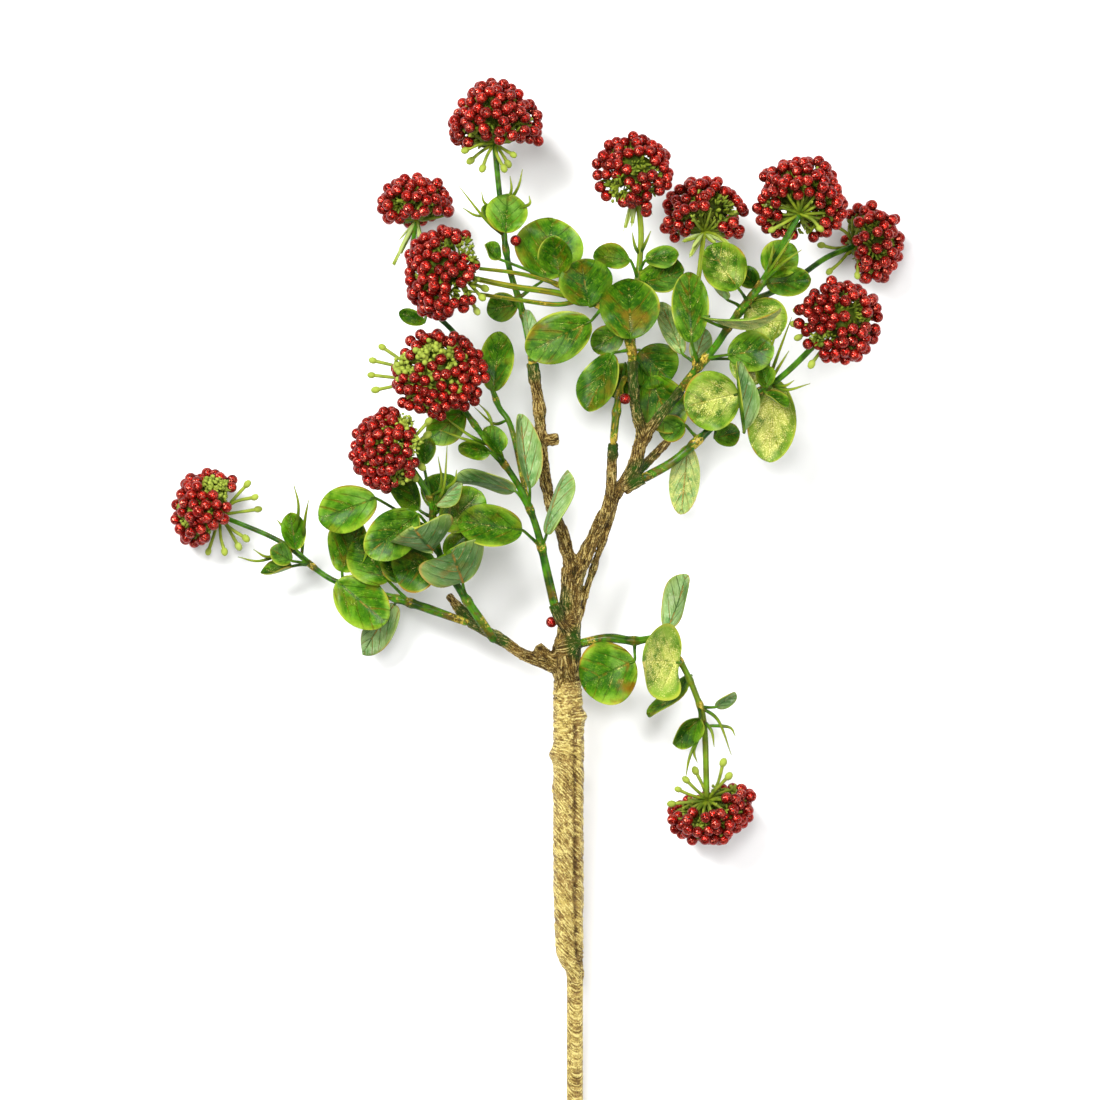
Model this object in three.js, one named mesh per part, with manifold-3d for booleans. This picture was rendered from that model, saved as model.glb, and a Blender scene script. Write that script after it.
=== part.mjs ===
import * as THREE from "three";
import { ConvexGeometry } from "three/addons/geometries/ConvexGeometry.js";
import { mergeVertices } from "three/addons/utils/BufferGeometryUtils.js";
import Module from "manifold-3d";

const wasm = await Module();
wasm.setup();

// Driving dimensions, in millimetres. The spray lies on a table at z = 0 with its stem along +Y.
const FOOT_RADIUS = 3.15;
const FOOT_LENGTH = 97;
const TRUNK_RADIUS = 5.8;
const BEAD_RADIUS = 2.1;
const BEAD_SWELL = 1.35;
const BEAD_SPACING = 9.3;
const UMBEL_LIFT = 3;
const CORE_INSET = 2.1;
const RIM_ANGLE = 98;
const SMALL_LEAF = 11.5;
const LARGE_LEAF = 19;
const BLADE_THICKNESS = 0.8;
const PETIOLE_RADIUS = 0.75;
const PEDICEL_RADIUS = 0.6;
const KNOB_RADIUS = 1.2;
const HUB_RADIUS = 1.9;
const NEEDLE_RADIUS = 0.55;
const GAP = 0.3;
const GOLDEN_ANGLE = Math.PI * (3 - Math.sqrt(5));

const BARK = new THREE.MeshStandardMaterial({ color: 0x5b4630, roughness: 0.55, metalness: 0.2 });
const GOLD_BARK = new THREE.MeshStandardMaterial({ color: 0xa78b4a, roughness: 0.45, metalness: 0.35 });
const LEAF_GREEN = new THREE.MeshStandardMaterial({ color: 0x5f9a24, roughness: 0.4, metalness: 0 });
const BERRY_RED = new THREE.MeshStandardMaterial({ color: 0x9c1a22, roughness: 0.25, metalness: 0.3 });

const UP = new THREE.Vector3(0, 0, 1);
const vector = ([x, y, z]) => new THREE.Vector3(x, y, z);
const degrees = (angle) => (angle * Math.PI) / 180;

function seededRandom(seed) {
  let state = seed;
  return () => {
    state = (state * 16807) % 2147483647;
    return state / 2147483647;
  };
}

// Whether a triangle's three corners are apart after vertices in one place were merged.
const isWhole = (corners, i) =>
  corners[i] !== corners[i + 1] && corners[i + 1] !== corners[i + 2] && corners[i] !== corners[i + 2];

function solidOf(geometry) {
  geometry.deleteAttribute("normal");
  geometry.deleteAttribute("uv");
  const merged = mergeVertices(geometry, 1e-4);
  const vertProperties = new Float32Array(merged.attributes.position.array);
  const corners = Array.from(merged.index.array);
  const triVerts = new Uint32Array(corners.filter((_, i) => isWhole(corners, i - (i % 3))));
  return new wasm.Manifold(new wasm.Mesh({ numProp: 3, vertProperties, triVerts }));
}

function geometryOf(solid) {
  const mesh = solid.getMesh();
  const geometry = new THREE.BufferGeometry();
  geometry.setAttribute("position", new THREE.BufferAttribute(new Float32Array(mesh.vertProperties), 3));
  geometry.setIndex(Array.from(mesh.triVerts));
  return geometry;
}

// Rings of equal point counts, skinned into one closed body. Where "turned" is true, the diagonal of
// that side runs from the ring's first point to the next ring's second one.
function skin(rings, turned = []) {
  const sides = rings[0].length;
  const triangles = [];
  for (let i = 0; i < rings.length - 1; i++) {
    for (let j = 0; j < sides; j++) {
      const a = i * sides + j;
      const b = i * sides + ((j + 1) % sides);
      const c = a + sides;
      const d = b + sides;
      triangles.push(...(turned[j] ? [a, b, d, a, d, c] : [a, b, c, b, d, c]));
    }
  }
  const last = (rings.length - 1) * sides;
  for (let j = 1; j < sides - 1; j++) {
    triangles.push(0, j + 1, j, last, last + j, last + j + 1);
  }
  const geometry = new THREE.BufferGeometry().setFromPoints(rings.flat());
  geometry.setIndex(triangles);
  return solidOf(geometry);
}

// A closed round tube through the route's points; its radius runs through the given values.
function tube(route, radii, sides = 5, cuts = 1) {
  const curve = new THREE.CatmullRomCurve3(route.map(vector), false, "catmullrom", 0.5);
  const steps = (route.length - 1) * cuts;
  let normal = new THREE.Vector3(0.31, 0.17, 0.93);
  const rings = [];
  for (let i = 0; i <= steps; i++) {
    const along = (i / steps) * (radii.length - 1);
    const k = Math.min(Math.floor(along), radii.length - 2);
    const radius = THREE.MathUtils.lerp(radii[k], radii[k + 1], along - k);
    const tangent = curve.getTangent(i / steps);
    normal = normal.clone().addScaledVector(tangent, -normal.dot(tangent)).normalize();
    const binormal = tangent.clone().cross(normal);
    const centre = curve.getPoint(i / steps);
    rings.push([]);
    for (let j = 0; j < sides; j++) {
      const angle = (2 * Math.PI * j) / sides;
      const out = normal.clone().multiplyScalar(Math.cos(angle)).addScaledVector(binormal, Math.sin(angle));
      rings[i].push(centre.clone().addScaledVector(out, radius));
    }
  }
  return skin(rings);
}

// The point on the axes of a spray's stems that lies nearest to a place.
function nearestRoot(stems, place) {
  const shares = [0, 0.2, 0.4, 0.6, 0.8, 1];
  const spots = stems.flatMap(([route]) =>
    route.slice(1).flatMap((end, i) => shares.map((t) => vector(route[i]).lerp(vector(end), t))),
  );
  const target = vector(place);
  spots.sort((a, b) => a.distanceTo(target) - b.distanceTo(target));
  return spots[0].toArray();
}

// A leaf is [stem point, base, tip, width, face, fold, sag]: a stalk from the stem that widens into a
// rounded blade of even thickness, folded along its midrib, whose upper side faces along "face".
// Each ring holds left, middle and right of the upper side, then right, middle and left of the lower.
function leaf(stems, [from, base, tip, width, face, fold = 15, sag = 1]) {
  const start = vector(base);
  const forward = vector(tip).sub(start);
  const length = forward.length();
  forward.normalize();
  const normal = vector(face).addScaledVector(forward, -vector(face).dot(forward)).normalize();
  const across = forward.clone().cross(normal);
  const slope = Math.tan(degrees(fold));
  const thick = BLADE_THICKNESS / 2 / Math.cos(degrees(fold));
  const ring = (centre, half) => {
    const row = (depth) => [-1, 0, 1].map((share) => {
      const place = centre.clone().addScaledVector(across, share * half);
      return place.addScaledVector(normal, Math.abs(share) * half * slope + depth);
    });
    return [...row(thick), ...row(-thick).reverse()];
  };
  const root = vector(nearestRoot(stems, from));
  const heading = start.clone().sub(root).normalize();
  const side = across.clone().addScaledVector(heading, -across.dot(heading)).setLength(PETIOLE_RADIUS);
  const top = side.clone().cross(heading);
  const stalk = (centre) => {
    const [left, right] = [centre.clone().sub(side), centre.clone().add(side)];
    return [left, centre.clone().add(top), right, right, centre.clone().sub(top), left];
  };
  const turns = width > LARGE_LEAF ? [38, 72, 108, 150] : width > SMALL_LEAF ? [48, 98, 148] : [60, 135];
  const blade = turns.map((turn) => {
    const t = (1 - Math.cos(degrees(turn))) / 2;
    const half = (width / 2) * Math.sin(degrees(turn)) * Math.cos(degrees(fold));
    const centre = start.clone().addScaledVector(forward, length * t);
    centre.addScaledVector(normal, -sag * 4 * t * (1 - t));
    return ring(centre, half);
  });
  return skin([stalk(root), stalk(start), ...blade], [false, true, true, false, true, true]);
}

// A needle leaves the stem near its first point and narrows to its tip.
function needle(stems, [from, ...route]) {
  return tube([nearestRoot(stems, from), ...route], [NEEDLE_RADIUS, NEEDLE_RADIUS, 0.25], 3);
}

// A bare stalk: thin, then swelling to a knob at its end.
function knob(base, tip) {
  const at = (share) => vector(base).lerp(vector(tip), share).toArray();
  return tube([at(0), at(0.8), at(0.93), tip], [PEDICEL_RADIUS, PEDICEL_RADIUS, KNOB_RADIUS, 0.5], 3);
}

// A bead of few faces, with a corner towards "inward", spun about that line by "spin".
function bead(centre, radius, inward, spin) {
  const geometry = new THREE.OctahedronGeometry(radius * BEAD_SWELL);
  geometry.rotateZ(spin);
  geometry.applyQuaternion(new THREE.Quaternion().setFromUnitVectors(UP, inward.clone().normalize()));
  geometry.translate(centre.x, centre.y, centre.z);
  return solidOf(geometry);
}

const fused = (solids) => solids.reduce((whole, piece) => whole.add(piece));

function headFrame({ base, axis }) {
  const turn = new THREE.Quaternion().setFromUnitVectors(UP, vector(axis).normalize());
  return new THREE.Matrix4().makeRotationFromQuaternion(turn).setPosition(...base);
}

// Stalks that spread from the stem's tip to the flat underside of the head.
function umbelStalks(head) {
  const place = headFrame(head);
  const spread = (head.radius - CORE_INSET) * 0.5;
  return [0, 120, 240].map((turn) => {
    const angle = degrees(turn);
    const end = new THREE.Vector3(spread * Math.cos(angle), spread * Math.sin(angle), UMBEL_LIFT - GAP - 0.5);
    return tube([head.base, end.applyMatrix4(place).toArray()], [0.8, PEDICEL_RADIUS], 3);
  });
}

// Beads cover a dome from its top down past its rim. Each is seated on a corner of a smaller core of
// crowded florets.
function berryHead(head, seed) {
  const draw = seededRandom(seed);
  const place = headFrame(head);
  const lowest = Math.cos(degrees(RIM_ANGLE));
  const across = head.radius - BEAD_RADIUS;
  const along = (head.depth - UMBEL_LIFT - BEAD_RADIUS) / (1 - lowest);
  const centreHeight = UMBEL_LIFT - (along - CORE_INSET) * lowest;
  const area = Math.PI * across * (across + along) * (1 - lowest);
  const count = Math.round(area / BEAD_SPACING ** 2);
  const beads = [];
  const seats = [];
  for (let i = 0; i < count; i++) {
    const height = 1 - ((i + 0.5) / count) * (1 - lowest);
    const ring = Math.sqrt(1 - height * height) * across;
    const angle = i * GOLDEN_ANGLE + 0.25 * (draw() - 0.5);
    const centre = new THREE.Vector3(Math.cos(angle) * ring, Math.sin(angle) * ring, height * along);
    const inward = centre.clone().negate().transformDirection(place);
    centre.multiplyScalar(1 - 0.03 * draw());
    centre.z += centreHeight;
    centre.applyMatrix4(place);
    beads.push(bead(centre, BEAD_RADIUS, inward, draw() * Math.PI));
    seats.push(centre.addScaledVector(inward, CORE_INSET));
  }
  return fused([solidOf(new ConvexGeometry(seats)), ...beads]);
}

// Heads: the point where the stalks spread, the way the dome faces, its radius and its depth.
const heads = {
  head_top_left: { base: [-30.5, 408.5, 42], axis: [-0.05, 0.98, -0.18], radius: 19.2, depth: 25.5 },
  head_upper_left: { base: [-60, 380.5, 29], axis: [-0.03, 0.95, -0.28], radius: 15.8, depth: 18.5 },
  head_left_third: { base: [-45, 359, 60], axis: [-0.75, 0.08, 0.65], radius: 20, depth: 20 },
  head_left_fourth: { base: [-50.5, 320, 55], axis: [-0.15, 0.3, 0.94], radius: 19.8, depth: 19 },
  head_left_fifth: { base: [-65, 292.5, 62], axis: [-0.82, 0.12, 0.56], radius: 18, depth: 20.5 },
  head_far_left: { base: [-134.5, 269.5, 14.4], axis: [-0.88, 0.42, 0.2], radius: 17, depth: 21 },
  head_top_centre: { base: [22, 394.5, 46], axis: [-0.1, 0.45, 0.88], radius: 17.5, depth: 19 },
  head_centre_right: { base: [48, 375.5, 38], axis: [0.05, 0.94, -0.33], radius: 17.8, depth: 23 },
  head_top_right: { base: [83.5, 381.5, 58], axis: [0.05, 0.68, -0.73], radius: 18.8, depth: 27.5 },
  head_right_edge: { base: [105, 371, 18.1], axis: [0.93, 0.2, -0.3], radius: 17.5, depth: 21 },
  head_right_front: { base: [96.5, 340.5, 52], axis: [0.3, 0.2, 0.93], radius: 18, depth: 20 },
  head_low_right: { base: [49.5, 162, 22], axis: [0.35, -0.85, -0.4], radius: 18.7, depth: 18 },
};

// Sprays: stems with their radii along the route, leaves, needles, and bare stalks that end in knobs.
const sprays = {
  spray_far_left: {
    heads: ["head_far_left"],
    stems: [
      [[[-41.7, 229.1, 31.1], [-57, 234.5, 28.5], [-70, 238.5, 26], [-92, 245, 22.5],
        [-111, 259, 18.3], [-134, 269, 14.3]],
        [1.6, 2, 1.7, 1.3, 1.2, 1.1, 1]],
    ],
    leaves: [
      [[-89, 244.5, 23], [-90, 244.5, 27], [-71.5, 228.5, 30], 18, [0.1, 0, 1], 12, 1],
      [[-68, 238, 26.5], [-68.3, 235.5, 24], [-80.5, 216.5, 15], 12, [0.6, 0.4, -0.7], 20, 1],
      [[-88, 243.8, 23], [-88, 248, 24], [-81, 267.5, 28], 20, [-0.35, 0.1, 0.93], 34, 1],
      [[-63, 237, 27.5], [-70.5, 244.5, 30], [-83, 260.5, 33], 18, [0, 0, 1], 8, 1],
      [[-99, 250, 21.5], [-105.4, 256.3, 24.1], [-107.6, 270.3, 26.2], 10.4, [0.25, 0, 1], 28, 0.5],
      [[-99, 250, 21.5], [-107, 250, 20], [-119, 247.5, 19], 9, [0, 0.8, 0.5], 30, 1],
      [[-99, 250, 21.5], [-107, 252, 23], [-115, 256.5, 25], 9, [0.3, 0.2, 0.9], 20, 0.5],
    ],
    needles: [
      [[-103.4, 262.1, 27.4], [-104.3, 271.2, 30.3], [-106.1, 281, 31.3]],
      [[-103, 259, 25.5], [-102, 267, 28], [-100.5, 275, 30]],
      [[-107, 262, 26], [-110, 264, 26], [-112.5, 267.5, 26]],
      [[-112, 249.5, 20], [-119, 252, 20], [-127.5, 253.5, 20]],
      [[-111, 251.5, 22], [-116, 253.5, 22], [-121.5, 256.3, 23]],
    ],
    knobs: {
      head_far_left: [[-124, 281, 17], [-121, 276, 22], [-120, 271.5, 15], [-124.5, 260.5, 19],
        [-127.5, 257.5, 12], [-132.5, 255.5, 20], [-139, 255.5, 9]],
    },
  },
  spray_left_front: {
    heads: ["head_left_fifth"],
    stems: [
      [[[-31.2, 223, 37], [-36, 230, 40], [-44, 242, 44], [-50, 252, 48], [-53, 263, 52],
        [-55, 276, 57], [-65, 292, 61.6]],
        [1.9, 2.1, 1.6, 1.5, 1.3, 1.3, 1.3]],
    ],
    leaves: [
      [[-53.5, 264, 52.5], [-75, 275.5, 45], [-96.5, 267.5, 42], 17, [0, 0.1, 1], 8, 1],
      [[-54, 268, 53.5], [-58.5, 271, 54], [-66.5, 286.5, 50], 14, [-0.7, 0.1, 0.7], 28, 1],
      [[-53, 264, 52.5], [-59, 269.5, 56], [-78, 254.5, 52], 17, [-0.1, 0.1, 1], 10, 1],
      [[-50.5, 253, 48.5], [-53.5, 256.5, 53], [-60.5, 264.5, 67], 25, [-0.2, 0.8, -0.5], 12, 1],
      [[-49, 250, 47], [-52, 251.5, 46], [-68.5, 247.5, 40], 18, [0, 0, 1], 10, 1],
      [[-52.5, 261, 51], [-49.5, 264, 52], [-35.5, 278, 49], 16, [0.1, 0.1, 1], 14, 1],
      [[-48.5, 250, 47], [-49, 254, 51], [-41, 262, 50], 9, [0, 0, 1], 14, 0.5],
      [[-41, 238, 42.5], [-42.5, 244, 48], [-47, 256.5, 61], 26, [-0.41, 0.64, -0.64], 14, 1],
      [[-53.5, 268, 53.5], [-52, 272.5, 58], [-42.5, 281, 60], 10, [0.5, -0.6, -0.6], 30, 0.5],
      [[-53.5, 268, 53.5], [-51, 271, 49], [-50, 285, 43], 15, [0, 0, 1], 8, 1],
      [[-55, 276, 57], [-57, 288, 54], [-56, 299, 52], 8, [0.4, 0, 0.9], 18, 0.5],
      [[-49, 249, 46.5], [-65, 244, 37], [-72.5, 254, 36], 8, [0.3, 0, 0.9], 10, 0.5],
    ],
    needles: [
      [[-53.5, 270, 55], [-49.5, 279, 60], [-48, 296, 62]],
      [[-54, 271, 55], [-50.3, 281, 58], [-51.5, 291, 60]],
      [[-49, 277, 60.5], [-46, 281, 61], [-44.5, 286, 62]],
    ],
    knobs: {
      head_left_fifth: [[-60, 283, 62], [-57.5, 287, 66], [-55, 304, 66], [-55.5, 299, 60]],
    },
  },
  spray_left_middle: {
    heads: ["head_left_fourth", "head_upper_left"],
    stems: [
      [[[-8.3, 236.5, 41.2], [-10.5, 246, 42.5], [-15, 265, 46], [-22, 281, 50], [-35, 299, 52],
        [-50, 319.5, 54.5]],
        [2, 1.9, 1.5, 1.4, 1.3, 1.2]],
      [[[-18, 273, 47.5], [-24, 301, 45], [-29, 310, 43], [-34, 322, 40], [-46, 338, 36],
        [-58, 350, 31], [-62, 363, 28],
        [-60.2, 379.5, 28.8]], [1.2, 1.2, 1.1, 1, 1]],
    ],
    leaves: [
      [[-17.5, 271, 47], [-22.5, 278, 51], [-46, 281.5, 52], 17, [0, 0.93, -0.37], 12, -2],
      [[-13, 255.5, 44], [-20, 263.5, 50], [-44.5, 267, 57], 15.5, [0, 0, 1], 14, 1.5],
      [[-13, 255.5, 44], [-11, 262, 50], [-3, 286, 54], 13, [0.75, -0.35, -0.55], 20, 1],
      [[-17, 271, 47.5], [-17.3, 279, 52], [-21, 307, 54], 13, [0.45, 0, 0.9], 42, 1],
      [[-31, 313, 42.6], [-31, 315.5, 44], [-28.5, 338, 46], 12.5, [-0.1, 0, 1], 8, 1],
      [[-37, 303, 52], [-42, 308, 48], [-55, 297, 46], 13, [0, 0, 1], 8, 1],
      [[-56, 348, 31.8], [-57, 341.5, 34], [-66.5, 345.5, 37], 6, [0, 0, 1], 15, 0.5],
      [[-27, 289, 51], [-28, 292.5, 56], [-34.5, 301.5, 59], 11, [0.5, 0.3, 0.8], 28, 0.5],
      [[-27, 289, 51], [-32, 292.5, 54], [-44, 295, 54], 8, [0, -0.5, 0.8], 20, 0.5],
    ],
    needles: [
      [[-33, 295, 56.5], [-40, 299, 57], [-50.5, 307, 48]],
      [[-33, 294, 56], [-41, 297.3, 56], [-51, 301, 53]],
      [[-28, 294, 55], [-32, 305, 58], [-36.5, 311, 50]],
      [[-25.5, 304, 45], [-31, 303.5, 45], [-38, 309.5, 44]],
    ],
    knobs: {
      head_left_fourth: [[-76, 327, 49], [-76.5, 321.5, 51], [-75, 316, 48], [-72.5, 332, 47]],
      head_upper_left: [[-68.5, 363.5, 31], [-66, 368, 25], [-58, 368, 33]],
    },
  },
  spray_top_left: {
    heads: ["head_top_left"],
    stems: [
      [[[-16.3, 326.3, 51], [-17.5, 334, 50], [-20.5, 347, 45], [-25.5, 364, 42], [-28.5, 388, 42],
        [-30.5, 408, 42]],
        [1.9, 1.6, 1.4, 1.3, 1.2, 1.2]],
    ],
    leaves: [
      [[-21.5, 351, 44], [-12, 357.5, 42], [-8.5, 380.5, 40], 25, [0, 0, 1], 8, 1.5],
      [[-20, 345, 45.5], [-22, 348, 44], [-33.5, 346.5, 40], 11, [0, 0.2, 1], 10, 1],
      [[-17.4, 333, 50], [-17, 333.5, 53], [-18.5, 346, 49.5], 6.5, [0.6, 0, -0.8], 25, 0],
      [[-26.3, 370, 42], [-26.3, 375, 47], [-25.5, 389.5, 50], 16, [0, 0.1, 1], 20, 1],
      [[-26.3, 370, 42], [-28, 376, 42], [-34.5, 385.5, 39], 10, [0.5, 0.2, 0.8], 30, 0.5],
    ],
    needles: [
      [[-26.5, 372, 42], [-34, 380, 45], [-44, 392.5, 46]],
      [[-31, 380.5, 41], [-36.5, 381.3, 42], [-42.5, 384.3, 43]],
      [[-32.5, 382, 40], [-34, 386, 38], [-35.5, 390.5, 37]],
      [[-25, 384, 49.5], [-24.3, 390, 50], [-24.7, 396, 50]],
      [[-22.5, 384, 49.5], [-22, 391, 51], [-20, 398.5, 52]],
      [[-20, 382, 50.5], [-18, 385, 52], [-17.5, 388.5, 53]],
    ],
    knobs: {
      head_top_left: [[-35, 399, 46], [-39.5, 402, 42], [-41.5, 405.5, 50], [-27, 399, 46],
        [-25.5, 401, 38],
        [-23.5, 404, 48], [-22, 410.5, 47]],
    },
  },
  spray_centre: {
    heads: ["head_left_third", "head_top_centre"],
    stems: [
      [[[20.9, 327.3, 49.5], [20.5, 332, 51], [17, 340, 54], [8, 348, 55], [-7, 352, 57],
        [-24, 354.5, 59], [-44.5, 358.8, 59.6]],
        [1.9, 1.7, 1.6, 1.5, 1.3, 1.2]],
      [[[4, 350, 55.4], [-7, 347.8, 56], [-22, 349.5, 58], [-36, 351.5, 60]], [1.1, 1, 0.8]],
      [[[0, 351, 56], [-9, 356, 58.5], [-22, 359.3, 61], [-36, 361, 62]], [1.1, 1, 0.8]],
      [[[20.5, 332, 50.5], [22.5, 346, 47], [23.5, 360, 45.5], [24.3, 376, 45.5], [22.2, 393.5, 45.6]],
        [1.5, 1.4, 1.3, 1.2]],
    ],
    leaves: [
      [[9, 347, 56], [5.5, 341.5, 59], [-18.5, 329.5, 57], 18, [0, 0, 1], 12, 1.5],
      [[-4, 353, 57], [-6.3, 359, 61], [-9, 373, 66], 15, [-0.1, -0.1, 1], 34, 2],
      [[7, 348, 56], [5, 347, 59], [2, 364.5, 62], 20, [0.2, 0, 1], 12, 1.5],
      [[20, 333, 52], [20.5, 335, 57], [19.5, 357.5, 60], 22, [0, 0, 1], 12, 1.5],
      [[19.5, 334, 51], [17.5, 338, 49], [6, 331.5, 47], 11, [0, 0, 1], 12, 0.5],
      [[20, 331, 50.5], [13.5, 329.5, 54], [4, 308, 52], 15, [-0.35, 0.2, 0.9], 14, 1],
      [[21, 331, 49.5], [24, 331, 41], [35.5, 319.5, 38.5], 18, [0, 0, 1], 8, 1],
      [[23, 347, 47], [24, 356, 48.5], [40.5, 361, 49], 16, [0, 0.6, 0.75], 12, 1],
      [[23.5, 358, 45.5], [20.3, 364.5, 50], [6.5, 366.5, 52], 11, [0, 0.5, 0.85], 16, 0.5],
      [[23.5, 360, 45.5], [26, 364.5, 50], [38.5, 366.5, 52], 10, [0, 0.5, 0.85], 20, 0.5],
      [[-8, 355, 57], [-28.5, 364.5, 61], [-34, 370, 63], 9, [0.3, 0.5, 0.8], 40, 1],
    ],
    needles: [
      [[23.6, 366, 45.5], [22, 370, 47], [21, 375, 48]],
      [[24, 366, 45.5], [26, 371, 47], [28, 375.5, 48]],
    ],
    knobs: {
      head_left_third: [[-37, 345, 66], [-35, 350, 70], [-34, 353.5, 66]],
      head_top_centre: [[27.5, 382.5, 47], [21, 378.5, 47], [18.5, 377, 43]],
    },
  },
  spray_right: {
    heads: ["head_centre_right", "head_top_right", "head_right_edge"],
    stems: [
      [[[39.5, 316.6, 45.3], [46, 325, 47], [52, 332, 49], [58, 341, 51], [65, 350, 53],
        [70, 357, 54.5], [76, 368, 57],
        [83, 381, 58.3]], [1.9, 1.7, 1.6, 1.5, 1.4, 1.3]],
      [[[45, 323.6, 46.5], [44, 336, 42], [45, 350, 39], [46.5, 362, 37], [48, 375, 37.8]],
        [1.3, 1.2, 1.1, 1.1]],
      [[[64, 349, 52.5], [72, 352, 46], [82, 357.5, 36], [94, 366, 25.4], [104.5, 370.6, 18.5]],
        [1.4, 1.3, 1.2, 1.2]],
    ],
    leaves: [
      [[46, 325, 47], [43.2, 333.5, 54], [42, 360, 56], 14, [-0.1, 0, 1], 14, 1.5],
      [[44.6, 326, 45.5], [40, 329.5, 44], [31.5, 349, 45], 8.5, [-0.3, 0, 1], 16, 1],
      [[45, 325, 46], [44.5, 327, 44.5], [48.5, 339, 45], 8, [0.2, 0, 1], 10, 0.5],
      [[64, 349, 52.5], [60.5, 353.5, 62], [49.5, 369.5, 64], 17, [0.15, 0.1, 1], 14, 1.5],
      [[62, 346, 52], [56.5, 349.5, 56], [48.5, 361.5, 56], 10, [0.8, 0.5, -0.35], 20, 1],
      [[70, 356, 54], [72, 358.5, 51], [80, 371, 47], 14, [0, 0, 1], 10, 1],
      [[68.5, 354.5, 54], [68, 354.5, 51.5], [61, 361.5, 50], 8, [0, 0, 1], 10, 0.5],
      [[66, 351, 53], [71, 355.5, 50], [88, 357.5, 48], 11, [0, 0, 1], 12, 1],
      [[61, 345, 52], [64, 347.5, 50], [77, 337.5, 47], 17, [0, 0, 1], 14, 1.5],
      [[57, 339.5, 51], [47, 343, 57], [76.5, 346, 66], 11, [0.1, -0.97, 0.25], 8, -3],
      [[48, 328, 48.5], [56.5, 329, 54], [74, 331.5, 55], 15, [0, 0.1, 1], 12, 1.5],
      [[48, 327, 47.5], [58, 327.5, 49], [69, 319, 49], 10, [0, 0.1, 1], 14, 0.5],
    ],
    needles: [
      [[69, 355.5, 55], [74, 363, 59], [81.5, 374.5, 61]],
      [[69, 356, 55], [77, 363, 60], [84, 368, 62]],
      [[71, 358, 55.5], [72.5, 364, 59], [73.5, 370, 60]],
    ],
    knobs: {
      head_centre_right: [[43, 366.5, 41], [44.5, 371, 37], [40.5, 372, 43], [52, 371.5, 42],
        [56.5, 371, 44]],
      head_top_right: [[73, 375.5, 60], [91, 376, 59]],
      head_right_edge: [[92.5, 371, 22], [95.5, 361, 24], [106, 359.5, 24], [111, 361.5, 21],
        [98, 378, 26]],
    },
  },
  spray_right_front: {
    heads: ["head_right_front"],
    stems: [
      [[[25.8, 283.3, 44.5], [36, 289, 44], [46, 297.5, 44.5], [54, 305, 44.5], [64, 313, 45],
        [73, 318, 46], [82, 325.5, 48],
        [96, 340, 51.6]], [2.1, 1.8, 1.5, 1.4, 1.3, 1.3]],
    ],
    leaves: [
      [[63, 312.5, 45.5], [61, 314.5, 50.5], [40.5, 309.5, 52.5], 22, [0, 0, 1], 12, 1.5],
      [[64, 313, 45.5], [62.8, 300, 54], [60, 326.5, 60], 14, [0.85, 0, 0.5], 36, 0.5],
      [[72, 317.5, 46], [74.5, 320, 41], [72.5, 289, 36], 18, [0, 0, 1], 12, 2],
      [[43, 295, 44.4], [42, 295.5, 42], [39.5, 269.5, 37], 11.5, [0, 0, 1], 16, 1.5],
      [[45, 297, 44], [41, 303, 40], [31, 300.5, 36], 10, [0, 0, 1], 10, 0.5],
      [[52, 303, 44], [52, 298, 41], [61.5, 300.5, 37], 9, [0, 0, 1], 10, 0.5],
      [[70, 316.3, 46], [71.5, 317, 51], [68.5, 325, 53.5], 9, [0.4, 0.1, 0.9], 26, 0.5],
      [[70, 316.3, 46], [71, 315, 49], [79.5, 309.5, 50.5], 7, [0.3, 0.7, 0.6], 26, 0.5],
    ],
    needles: [
      [[75, 313, 49.5], [79, 316, 51], [87.5, 318.3, 52]],
      [[76, 314, 50], [78, 317.5, 51.5], [81.5, 319.5, 53]],
      [[71, 317, 46], [75, 328, 51], [80.5, 343, 57]],
      [[71, 317, 46], [75.5, 324, 50], [79.5, 330.5, 54]],
      [[71, 317, 46], [72.5, 330, 53], [76, 341, 60]],
    ],
    knobs: {
      head_right_front: [[83, 335.5, 52], [81.5, 340.5, 56], [88, 325.5, 52], [82.5, 345.5, 54]],
    },
  },
  spray_stub: {
    heads: [],
    stems: [[[[14, 297, 49.4], [15, 307, 49.5], [16.5, 316, 48], [18.5, 321, 46]], [1.7, 1.7, 1.3, 1]]],
    leaves: [
      [[16.5, 315, 48], [18.5, 326, 43.5], [14.5, 313, 43], 12, [0, 0, 1], 10, 0.5],
      [[18, 320, 46.5], [24, 318, 36], [27.5, 304.5, 34.5], 11, [0, 0, 1], 10, 0.5],
    ],
    needles: [],
    knobs: {},
  },
  spray_low_right: {
    heads: ["head_low_right"],
    stems: [
      [[[2.9, 221.3, 34], [12, 223, 35.5], [22, 222, 35.5], [32, 222.5, 34], [39, 214.5, 32],
        [45, 202, 29], [48.3, 190, 26.5],
        [49.3, 163, 22.3]], [1.9, 2, 1.6, 1.4, 1.3, 1.3, 1.3]],
    ],
    leaves: [
      [[23, 221.5, 35.7], [22, 214.5, 39], [2, 205.5, 40.5], 23.5, [0, 0, 1], 8, 1.5],
      [[39, 214, 32], [39, 213.8, 36], [24.8, 214.5, 50], 28, [0.68, 0, 0.73], 10, 1.5],
      [[32.5, 222, 34], [34.5, 226.5, 36.5], [41.5, 247, 40], 13, [-0.6, 0.2, 0.75], 24, 1],
      [[43, 206.5, 30], [43.5, 209, 27], [27, 193.5, 26], 10, [-0.5, 0.6, 0.55], 20, 1.5],
      [[47, 197.5, 28.5], [46.5, 193, 32], [36.5, 183, 33], 12, [0.4, -0.4, 0.8], 28, 0.5],
      [[47, 197.5, 28.5], [52.5, 197, 28], [60.5, 202, 27], 7, [0.4, -0.6, 0.6], 10, 0.5],
    ],
    needles: [
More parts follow.
